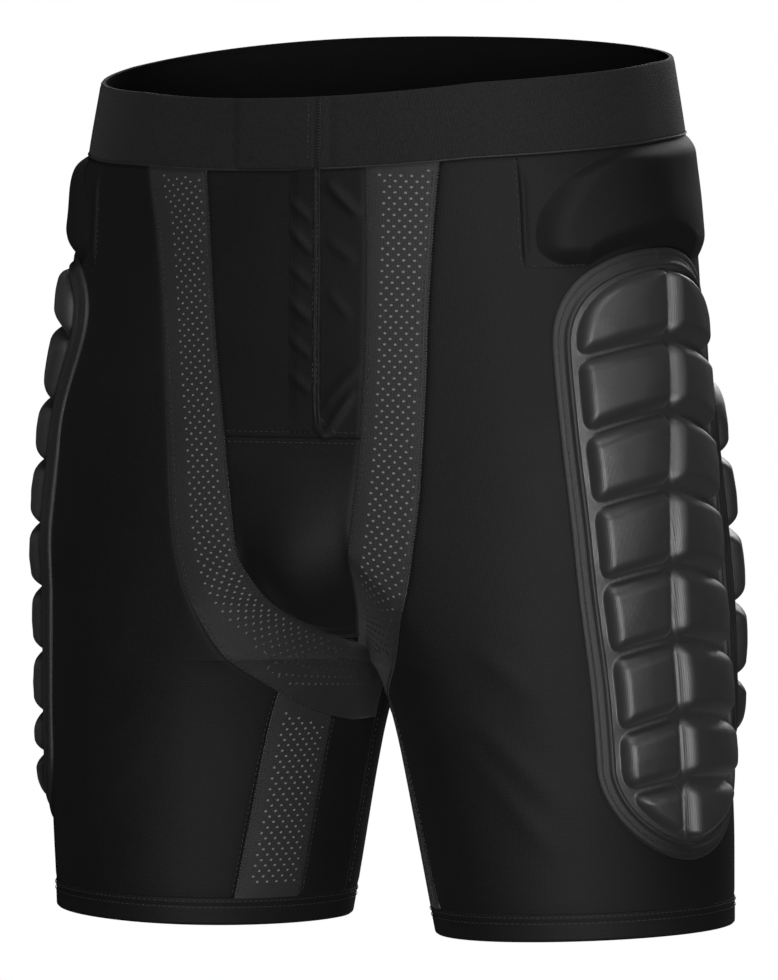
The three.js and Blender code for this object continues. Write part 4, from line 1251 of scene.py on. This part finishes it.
def thigh_mesh(label, side):
    """A mesh strip is laid out flat by its distance from the inseam and its depth."""
    low = MESH_STRIP_START + SEAM_GAP
    high = MESH_STRIP_START + MESH_STRIP_WIDTH - SEAM_GAP
    bottom = -(HEM_SEAM + SEAM_GAP)
    sides = np.linspace(low, high, 16)
    tops = -(stripe_edge_height(sides, side) - 2 * SEAM_GAP)
    left = np.linspace(bottom, tops[0], 40)[1:-1]
    right = np.linspace(tops[-1], bottom, 40)[1:-1]
    outline = np.r_[np.c_[sides, tops], np.c_[high + 0 * right, right]]
    outline = np.r_[outline, np.c_[sides[::-1], bottom + 0 * sides], np.c_[low + 0 * left, left]]
    spots = lattice((low, tops.min()), (high, bottom))
    edge_top = np.interp(spots[:, 0], sides, tops)
    inside = (spots[:, 0] > low) & (spots[:, 0] < high)
    kept = inside & (spots[:, 0] > low + BACK_BORDER) & (spots[:, 0] < high - FRONT_BORDER)
    kept &= (spots[:, 1] > edge_top + END_BORDER) & (spots[:, 1] < bottom - END_BORDER)
    bare = inside & ~kept & (spots[:, 1] > edge_top + BARE_MARGIN) & (spots[:, 1] < bottom - BARE_MARGIN)
    straight = np.ones(int(kept.sum()))
    points, faces = flat_mesh(outline, spots[kept], spots[bare], 0 * straight, straight)
    h = -points[:, 1]
    g = front_length(h) - points[:, 0]
    edge = np.minimum(points[:, 0] - low, high - points[:, 0])
    name, node = f"inner_thigh_knit_{label}", f"inner_thigh_mesh_{label}"
    lay_mesh(name, node, side, points, faces, h, g, edge)
    share = np.linspace(0, 1, 40)[None, :]
    distance = low + (high - low) * share
    top = -np.interp(distance, sides, tops)
    h = top + (-bottom - top) * np.linspace(0, 1, 60)[:, None]
    lining_edge = np.minimum(distance - low, high - distance)
    lay_lining(f"inner_thigh_lining_{label}", side, h, front_length(h) - distance, lining_edge)
    return int(kept.sum())


print("holes inside the thighs:", [thigh_mesh(label, side) for label, side in SIDES])

# %% [markdown]
# ## Thigh and seat pads
# These pads are moulded foam under a satin cover, cut into blocks by pressed grooves so that
# they bend with the leg. Foam blocks have a firm crown and rounded flanks, which a height
# over the body gives exactly; a simulation would only blur the grooves. A stitched binding
# with a raised inner lip holds each pad to the shell.

# %% The pads' outlines and grooves
PAD_CLEARANCE = 1.7
BORDER_CLEARANCE = 1.3
GROOVE_HEIGHT = 0.5
BLOCK_HEIGHT = 7.0
BLOCK_CROWN = 1.3
PAD_END = 50
RIGHT_TURN = 19
RIGHT_TURN_START = 66
RIGHT_TURN_RUN = 80

THIGH_PAD = {
    "name": "thigh_pad", "top": 52, "length": 310, "width": 122, "axis": 25, "taper": 0.1,
    "top_power": 2.3, "bottom_power": 1.8, "rows": [12.2, 12.5, 13.2, 13.4, 12.9, 13.1, 11.5, 11.2],
    "groove": [(-70, 19.5), (-93, 19.5), (-137, 20.5), (-199, 28), (-237, 30.5), (-277, 32.5),
               (-315, 32.5), (-381, 33)],
    "front_fall": [11, 13, 11, 10, 10, 11, 8], "rear_fall": [12, 15, 13, 11, 10, 7, 4],
    "right_rows": [9.5, 12.1, 11.2, 11.7, 11.7, 11.7, 11.1, 8.2, 12.8],
    "right_front_fall": [11, 13, 12, 11, 10, 10, 11, 8], "right_rear_fall": [12, 15, 14, 12, 11, 9, 7, 4],
}
SEAT_PAD = {
    "name": "seat_pad", "top": 108, "length": 210, "width": 100, "axis": -91, "taper": 0,
    "top_power": 2.2, "bottom_power": 2.2, "rows": [1, 1, 1, 1, 1],
    "groove": [(-127, -91), (-337, -91)],
    "front_fall": [5, 5, 5, 5], "rear_fall": [5, 5, 5, 5],
}


def pad_turn(h, side):
    """How far back a pad is carried at a height, because the wearer's right leg is turned."""
    return RIGHT_TURN * smooth((BAND_LOW - h - RIGHT_TURN_START) / RIGHT_TURN_RUN) if side < 0 else 0 * h


def pad_half(pad, fall, inset):
    """Half the width of the pad's outline, moved in by inset, at a fall below the outline's top."""
    length = pad["length"] - 2 * inset
    end = PAD_END - inset
    fall = np.clip(fall, 0, length)
    full = pad["width"] / 2 * (1 - pad["taper"] * smooth(fall / length)) - inset
    top, bottom = pad["top_power"], pad["bottom_power"]
    top_share = (1 - np.clip(1 - fall / end, 0, 1) ** top) ** (1 / top)
    low_share = (1 - np.clip(1 - (length - fall) / end, 0, 1) ** bottom) ** (1 / bottom)
    return full * np.minimum(top_share, low_share)


def pad_height(pad, fall, inset):
    """Height of a place at a fall below the inset outline's top."""
    return BAND_LOW - pad["top"] - inset - fall


def edge_distance(pad, fall, sideways, inset):
    """Roughly the shortest distance to the inset outline."""
    half = pad_half(pad, fall, inset)
    slope = pad_half(pad, fall + 0.5, inset) - pad_half(pad, fall - 0.5, inset)
    return (half - np.abs(sideways)) / np.sqrt(1 + slope * slope)


def pad_outline(pad, turn, inset, side):
    """Places along the outline moved in by inset, where turn goes once round it."""
    fall = (1 - np.cos(turn)) / 2 * (pad["length"] - 2 * inset)
    hand = np.where(np.sin(turn) >= 0, 1.0, -1.0)
    h = pad_height(pad, fall, inset)
    return h, pad["axis"] + hand * pad_half(pad, fall, inset) - pad_turn(h, side)


def nearness(bevels, power):
    """1 on a groove or an edge, falling to 0 across its bevel, and blended where bevels meet."""
    return sum((1 - np.clip(d / w, 0, 1)) ** power for d, w in bevels) ** (1 / power)


for pad in (THIGH_PAD, SEAT_PAD):
    print(pad["name"], pad["length"], "by", pad["width"], "mm")

# %% Foam blocks
BLOCK_INSET = 9.6
ROW_BEVEL = 7.5
GROOVE_BEVEL = 7.0
EDGE_BEVEL = 6.5
ROW_FLAT = 1.5
GROOVE_FLAT = 0.8
EDGE_FLAT = 3.0
BEVEL_BLEND = 2.6
ROW_STEP = 0.9
TIP_LENGTH = 4.0
CROWN_ALONG = 17
CROWN_ACROSS = 20
COVER_WALL = 0.6
COVER_WAVES = ((71, 14, 0.14), (72, 6, 0.05))


def row_grooves(pad, sideways, groove, length, side):
    """Heights of the pressed grooves between the rows. Each falls away to the front and to the back."""
    full = pad["width"] / 2 - BLOCK_INSET
    off = sideways - groove
    share = np.clip(np.abs(off) / np.where(off > 0, full - groove, full + groove), 0, 1.1)
    hand = "right_" if side < 0 and "right_rows" in pad else ""
    rows = pad[hand + "rows"]
    ends = np.cumsum(rows) / np.sum(rows)
    channels = pad_height(pad, ends[:-1] * length, BLOCK_INSET)
    for channel, front_fall, rear_fall in zip(channels, pad[hand + "front_fall"], pad[hand + "rear_fall"]):
        yield channel - np.where(off > 0, front_fall, rear_fall) * share ** 1.5


def pad_blocks(pad, label, side):
    """All the blocks of one pad under their cover, as one height over the pad's field."""
    length = pad["length"] - 2 * BLOCK_INSET
    middle = np.arange(TIP_LENGTH, length - TIP_LENGTH, ROW_STEP)
    tip = TIP_LENGTH * (np.arange(1, 14) / 14) ** 2
    fall = np.r_[tip, middle, length - tip[::-1]][:, None]
    spread = np.linspace(-1, 1, 130)[None, :]
    spread = 0.55 * spread + 0.45 * np.sin(spread * math.pi / 2)
    sideways = pad_half(pad, fall, BLOCK_INSET) * spread
    h = pad_height(pad, fall, BLOCK_INSET) + 0 * sideways
    places = np.array(pad["groove"], float)
    groove = monotone(places[:, 0], places[:, 1])(h) - pad["axis"]
    nearest = np.full(h.shape, 1e3)
    for line in row_grooves(pad, sideways, groove, length, side):
        nearest = np.minimum(nearest, np.abs(h - line))
    rim = edge_distance(pad, fall, sideways, BLOCK_INSET)
    column_gap = np.abs(sideways - groove)
    bevels = [(nearest - ROW_FLAT, ROW_BEVEL), (column_gap - GROOVE_FLAT, GROOVE_BEVEL)]
    near = nearness([*bevels, (rim - EDGE_FLAT, EDGE_BEVEL)], BEVEL_BLEND)
    rise = np.clip(1 - near ** 1.9, 0, 1) ** 0.8
    soft = np.clip(nearest / CROWN_ALONG, 0, 1) * np.clip(np.minimum(column_gap, rim) / CROWN_ACROSS, 0, 1)
    top = GROOVE_HEIGHT + (BLOCK_HEIGHT - GROOVE_HEIGHT) * rise + BLOCK_CROWN * np.sin(soft * math.pi / 2)
    broad, fine = (ripple(sideways, h, *wave) for wave in COVER_WAVES)
    top = top + broad * rise + fine
    g = pad["axis"] + sideways - pad_turn(h, side)
    name, node = f"{pad['name']}_foam_{label}", f"{pad['name']}_{label}"
    piece = sheet_shell(name, h, g, PAD_CLEARANCE + top, PAD_CLEARANCE - COVER_WALL, side)
    dress(piece, "pad_cover", inside="pad_cover", stands_for=[node])


for label, side in SIDES:
    pad_blocks(THIGH_PAD, label, side)
    pad_blocks(SEAT_PAD, label, side)
print("foam blocks made")


# %% Bindings round the pads
def ring_piece(name, h, g, height, side):
    """A closed ring: rows go round its section and columns round the ring."""
    points = raised(h, g, height, side)
    rows, columns = h.shape
    run = np.r_[0, np.cumsum(np.linalg.norm(np.diff(points[rows // 3], axis=0), axis=-1))]
    round_section = np.r_[0, np.cumsum(np.linalg.norm(np.diff(points[:, 0], axis=0), axis=-1))]
    uv = np.stack(np.broadcast_arrays(run[None, :], round_section[:, None]), -1).reshape(-1, 2)
    return build_piece(name, points.reshape(-1, 3), tube_faces(rows, columns), uv)


# inset from the pad's outline and height of each corner of the binding's section
BINDING_PROFILE = [
    (0.0, -1.2), (0.0, 0.6), (0.3, 1.5), (1.0, 2.0), (2.0, 2.2), (3.2, 2.2), (3.7, 1.9), (4.2, 2.2),
    (5.6, 2.3), (6.3, 2.5), (6.8, 3.0), (7.3, 3.6), (8.0, 4.1), (8.7, 4.1), (9.3, 3.6), (9.7, 2.6),
    (9.8, -0.8),
]


def binding(pad, label, side):
    """The bound edge of one pad: its section is carried once round the outline."""
    turn = np.linspace(0, 2 * math.pi, 760, endpoint=False)
    rings = [pad_outline(pad, turn, inset, side) for inset, _ in BINDING_PROFILE]
    h, g = (np.array(part) for part in zip(*rings))
    rise = np.array(BINDING_PROFILE)[:, 1:]
    name, node = f"{pad['name']}_binding_{label}", f"{pad['name']}_border_{label}"
    piece = ring_piece(name, h, g, BORDER_CLEARANCE - 1 + rise + 0 * h, side)
    dress(piece, "pad_binding", inside="pad_binding", stands_for=[node])


for label, side in SIDES:
    binding(THIGH_PAD, label, side)
    binding(SEAT_PAD, label, side)
print("bindings made")

# %% [markdown]
# ## Hip pads
# A slab of soft foam is sewn under a smooth cover just below the waistband. Its front edge
# sweeps down in a curve, with a hollow between it and the cover's front seam.

# %% Hip pads
HIP_FRONT = 98
HIP_BACK = 96
HIP_DEPTH = 60
HIP_FOAM = 6.8
HIP_REAR_FOAM = 2.9
RIGHT_HIP_SETBACK = 17
HIP_BLEND = 2.4
HIP_SLOPE = 0.85
HIP_BEVELS = {"top": 10.0, "bottom": 12.0, "front": 16.0, "rear": 11.0}
HIP_WAVE = (81, 40, 0.3)
# heights and girths of the foam's front and rear edges
FOAM_FRONT = [(-14, 36), (-22, 52), (-28.5, 66), (-33.5, 75), (-42, 83), (-51.5, 89), (-63, 91), (-70.5, 90),
              (-84, 86)]
FOAM_REAR = [(-12, -62), (-22, -76), (-30, -84), (-42, -88), (-58, -89), (-84, -84)]
foam_front, foam_back = (monotone(*zip(*edge)) for edge in (FOAM_FRONT, FOAM_REAR))


def hip_pad(label, side):
    """The foam and its pocket of cloth, which meets the curved top of the thigh pad below."""
    back_shift = RIGHT_HIP_SETBACK if side < 0 else 0
    top = BAND_LOW - SEAM_GAP
    front = HIP_FRONT - back_shift
    g = np.linspace(front, -HIP_BACK, 220)[None, :]
    beside = np.clip(np.abs(g - THIGH_PAD["axis"]) / (THIGH_PAD["width"] / 2), 0, 1)
    arch = 1 - (1 - beside ** THIGH_PAD["top_power"]) ** (1 / THIGH_PAD["top_power"])
    pad_top = BAND_LOW - THIGH_PAD["top"] - PAD_END * arch
    low = np.maximum(top - HIP_DEPTH, pad_top + 1.2)
    h = top + (low - top) * np.linspace(0, 1, 90)[:, None]
    bevels = [(BAND_LOW - 1.0 - h, HIP_BEVELS["top"]), (h - low - 1.5, HIP_BEVELS["bottom"])]
    bevels.append(((foam_front(h) - back_shift - g) * HIP_SLOPE, HIP_BEVELS["front"]))
    bevels.append(((g - foam_back(h)) * HIP_SLOPE, HIP_BEVELS["rear"]))
    near = nearness(bevels, HIP_BLEND)
    rise = smooth(np.clip(1 - near ** 1.5, 0, 1)) * 0.6 + 0.4 * np.clip(1 - near ** 2, 0, 1) ** 0.7
    foam = HIP_REAR_FOAM + (HIP_FOAM - HIP_REAR_FOAM) * smooth((g / 40 + 1) / 2)
    ridge = np.exp(-(((front - g - 1.6) / 1.6) ** 2)) * smooth((-22 - h) / 14)
    outer = 0.5 + (1.0 + foam) * rise + ripple(g, h, *HIP_WAVE) * (0.3 + rise)
    edge = np.minimum(np.minimum(front - g, g + HIP_BACK), np.minimum(top - h, h - low))
    outer = outer * smooth((edge + 1.5) / 5) - 0.3 * (1 - smooth(edge / 2.5)) + ridge * smooth((h - low) / 14)
    piece = sheet_shell(f"hip_pad_cover_{label}", h, g, outer, -0.4, side)
    dress(piece, "shell_knit", stands_for=[f"hip_pad_{label}"])


for label, side in SIDES:
    hip_pad(label, side)
print("hip pads made")

# %% [markdown]
# ## Stitches
# Sewing is what makes panels into clothes. Each row of stitches is a line of tiny threads
# that lie on the cloth: plain stitches along an edge, and slanted ones where an overlock
# stitch covers a seam.

# %% Rows of thread
THREAD_SECTION = [(math.cos(k * math.pi / 3), math.sin(k * math.pi / 3)) for k in range(6)]
THREAD_RINGS = [(-0.5, 0.35), (-0.32, 1.0), (0.32, 1.0), (0.5, 0.35)]
THREAD_HEIGHT = 0.35
THREAD_FACES = [(6 * ring + k, 6 * ring + (k + 1) % 6, 6 * ring + 6 + (k + 1) % 6, 6 * ring + 6 + k)
                for ring in range(3) for k in range(6)]
THREAD_FACES += [(3, 2, 1, 0), (5, 4, 3, 0), (18, 19, 20, 21), (18, 21, 22, 23)]
OVERLOCK = {"pitch": 1.5, "length": 2.0, "width": 0.5}
OVERLOCK_SLANT = 1.15


def thread_row(h, g, height, side=1, pitch=3.0, length=2.1, width=0.55, slant=0.0):
    """Points and faces of a row of stitches along a line of places."""
    h, g, height = np.broadcast_arrays(*(np.atleast_1d(np.asarray(v, float)) for v in (h, g, height)))
    line = raised(h, g, height, 1) / MM
    run = np.r_[0, np.cumsum(np.linalg.norm(np.diff(line, axis=0), axis=1))]
    marks = np.arange(pitch / 2, run[-1] - pitch / 3, pitch)
    at_h, at_g, at_up = (np.interp(marks, run, v) for v in (h, g, height))
    ahead, behind = (raised(np.interp(marks + step, run, h), np.interp(marks + step, run, g), at_up, 1)
                     for step in (0.5, -0.5))
    centre = raised(at_h, at_g, at_up, 1)
    along = ahead - behind
    along /= np.linalg.norm(along, axis=1, keepdims=True)
    up = body_normal(at_h, at_g)
    beside = np.cross(up, along)
    beside /= np.linalg.norm(beside, axis=1, keepdims=True)
    turned = along * math.cos(slant) + beside * math.sin(slant)
    cross = -along * math.sin(slant) + beside * math.cos(slant)
    points = []
    for reach, girth in THREAD_RINGS:
        for c, s in THREAD_SECTION:
            shape = turned * reach * length + cross * c * girth * width / 2
            shape = shape + up * s * girth * width * THREAD_HEIGHT
            points.append(centre + shape * MM)
    points = np.stack(points, 1)
    points[..., 0] *= side
    faces = np.array(THREAD_FACES)
    if side > 0:
        faces = faces[:, ::-1]
    index = faces[None] + 24 * np.arange(len(points))[:, None, None]
    return points.reshape(-1, 3), index.reshape(-1, 4)


def thread_piece(name, rows):
    """One piece from several rows of stitches."""
    starts = np.cumsum([0] + [len(row_points) for row_points, _ in rows])
    points = np.concatenate([row_points for row_points, _ in rows])
    faces = np.concatenate([row_faces + start for (_, row_faces), start in zip(rows, starts)])
    uv = points[:, [0, 2]] + points[:, [1, 1]]
    piece = build_piece(name, points, faces, uv)
    dress(piece, "seam_thread", inside="seam_thread")


def piping(name, h, g, height, radius, side):
    """A thin round piping along a closed line of places."""
    h, g, height = np.broadcast_arrays(*(np.asarray(v, float) for v in (h, g, height)))
    base = raised(h, g, height, 1)
    base[..., 0] *= side
    up = body_normal(h, g)
    up[..., 0] *= side
    ahead = np.roll(base, -1, axis=0) - np.roll(base, 1, axis=0)
    ahead /= np.linalg.norm(ahead, axis=1, keepdims=True)
    beside = np.cross(up, ahead)
    beside /= np.maximum(np.linalg.norm(beside, axis=1, keepdims=True), 1e-9)
    angles = np.linspace(0, 2 * math.pi, 8, endpoint=False)
    rings = [base + (up * math.sin(a) + beside * math.cos(a)) * radius * MM for a in angles]
    points = np.concatenate(rings)
    uv = points[:, [0, 2]] + points[:, [1, 1]]
    piece = build_piece(name, points, tube_faces(len(rings), len(base)), uv)
    dress(piece, "seam_thread", inside="seam_thread")


print("thread helpers ready")

# %% Seams of the front
fly_down = np.linspace(BAND_LOW - 2, YOKE_SEAM + 18, 80)
rows = []
for rise, lift in ((2.6, 0.15), (-2.8, 0.35)):
    rows.append(thread_row(YOKE_SEAM + rise, yoke_girth, lift, pitch=3.2, length=2.3))
for inset, lift in ((2.0, 1.35), (4.3, 1.15)):
    rows.append(thread_row(fly_down, front_length(fly_down) - LAP_EDGE + inset, lift, pitch=2.8, length=2.0))
foot = np.linspace(LAP_EDGE, LAP_EDGE + 9, 12)
foot_girth = front_length(YOKE_SEAM) - foot
foot_height = YOKE_SEAM + 4 + (foot - LAP_EDGE) * -0.9 + 6
rows.append(thread_row(foot_height, foot_girth, 0.5, pitch=1.4, length=1.9, slant=1.1))
band_line = np.linspace(BAND_TOP - 3, BAND_LOW + 3, 30)
lap_line = front_length(band_line) - LAP_EDGE
rows.append(thread_row(band_line, lap_line + 7, 2.05, pitch=2.6, length=1.9))
rows.append(thread_row(band_line, lap_line + 0.6, 2.7, pitch=1.5, length=2.4, slant=1.2))
thread_piece("front_stitches", rows)

# %% Seams beside the stripes, under the waistband and at the hems
for label, side in SIDES:
    rows = []
    for edge_line, end, inset, hand in ((stripe_outer, 1.2, 0.0, 1), (stripe_inner, 0.955, 0.2, -1)):
        down = rows_between(BAND_LOW - 1, float(height_at(end)))
        girth = edge_line(down, side)
        rows.append(thread_row(down, girth + 2.4 * hand, 0.05, side))
        rows.append(thread_row(down, girth - inset, 0.05, side, **OVERLOCK, slant=OVERLOCK_SLANT * hand))
    for distance, hand in ((MESH_STRIP_START, 1), (MESH_STRIP_START + MESH_STRIP_WIDTH, -1)):
        top = float(stripe_edge_height(distance, side)) - 1
        down = np.linspace(top, HEM_SEAM + 1, 60)
        girth = front_length(down) - distance
        rows.append(thread_row(down, girth - 2.2 * hand, 0.1, side))
        rows.append(thread_row(down, girth + 2.2 * hand, 0.1, side))
        rows.append(thread_row(down, girth, 0.05, side, pitch=1.6, length=2.4, width=0.5,
                               slant=OVERLOCK_SLANT))
    thread_piece(f"stripe_stitches_{label}", rows)
    rows = []
    share = np.linspace(0, 1, 400)
    for rise, lift in ((9.5, 0.35), (12.6, 0.4)):
        rows.append(thread_row(HEM + rise, around(HEM + rise, share), lift, side, length=2.2))
    down = rows_between(BAND_LOW - 2, CROTCH + 0.5)
    kept = down < -40
    for shift in (-2.2, 2.2):
        rows.append(thread_row(down[kept], seat_line(down)[kept] + shift, 0.15, side))
    down = rows_between(BAND_LOW - 2, CROTCH + 2)
    rows.append(thread_row(down, -back_length(down) + 2.4, 0.1, side))
    down = np.linspace(CROTCH - 3, HEM_SEAM + 2, 80)
    rows.append(thread_row(down, -back_length(down) + 2.2, 0.1, side))
    thread_piece(f"leg_stitches_{label}", rows)

PIPING_LIFT = 0.55
PIPING_RADIUS = 0.55
share, hand = full_turn(700)
level = BAND_LOW + 0.1
piping("waist_piping", level, around(level, share), PIPING_LIFT, PIPING_RADIUS, hand)
print("seams made:", sum("stitches" in p.name for p in PIECES))

# %% Stitches on the pads
BORDER_LINE = 3.6
HIP_STITCH = {"pitch": 2.8, "length": 2.0, "width": 0.4}
for label, side in SIDES:
    rows = []
    for pad in (THIGH_PAD, SEAT_PAD):
        h, g = pad_outline(pad, np.linspace(0, 2 * math.pi, 900), BORDER_LINE, side)
        rows.append(thread_row(h, g, BORDER_CLEARANCE + 1.05, side, pitch=2.6, length=1.9, width=0.5))
    front = np.linspace(BAND_LOW - 2, BAND_LOW - HIP_DEPTH + 1, 60)
    edge = HIP_FRONT - (RIGHT_HIP_SETBACK if side < 0 else 0)
    rows.append(thread_row(front, edge + 1.2, 0.1, side, **HIP_STITCH))
    under = np.linspace(edge - 4, THIGH_PAD["axis"] + 40, 40)
    rows.append(thread_row(BAND_LOW - HIP_DEPTH + 1.6, under, 0.55, side, **HIP_STITCH))
    thread_piece(f"pad_stitches_{label}", rows)
print("pad stitches made")

# %% Sizes
print("pieces:", len(PIECES), "faces:", sum(len(p.data.polygons) for p in PIECES))
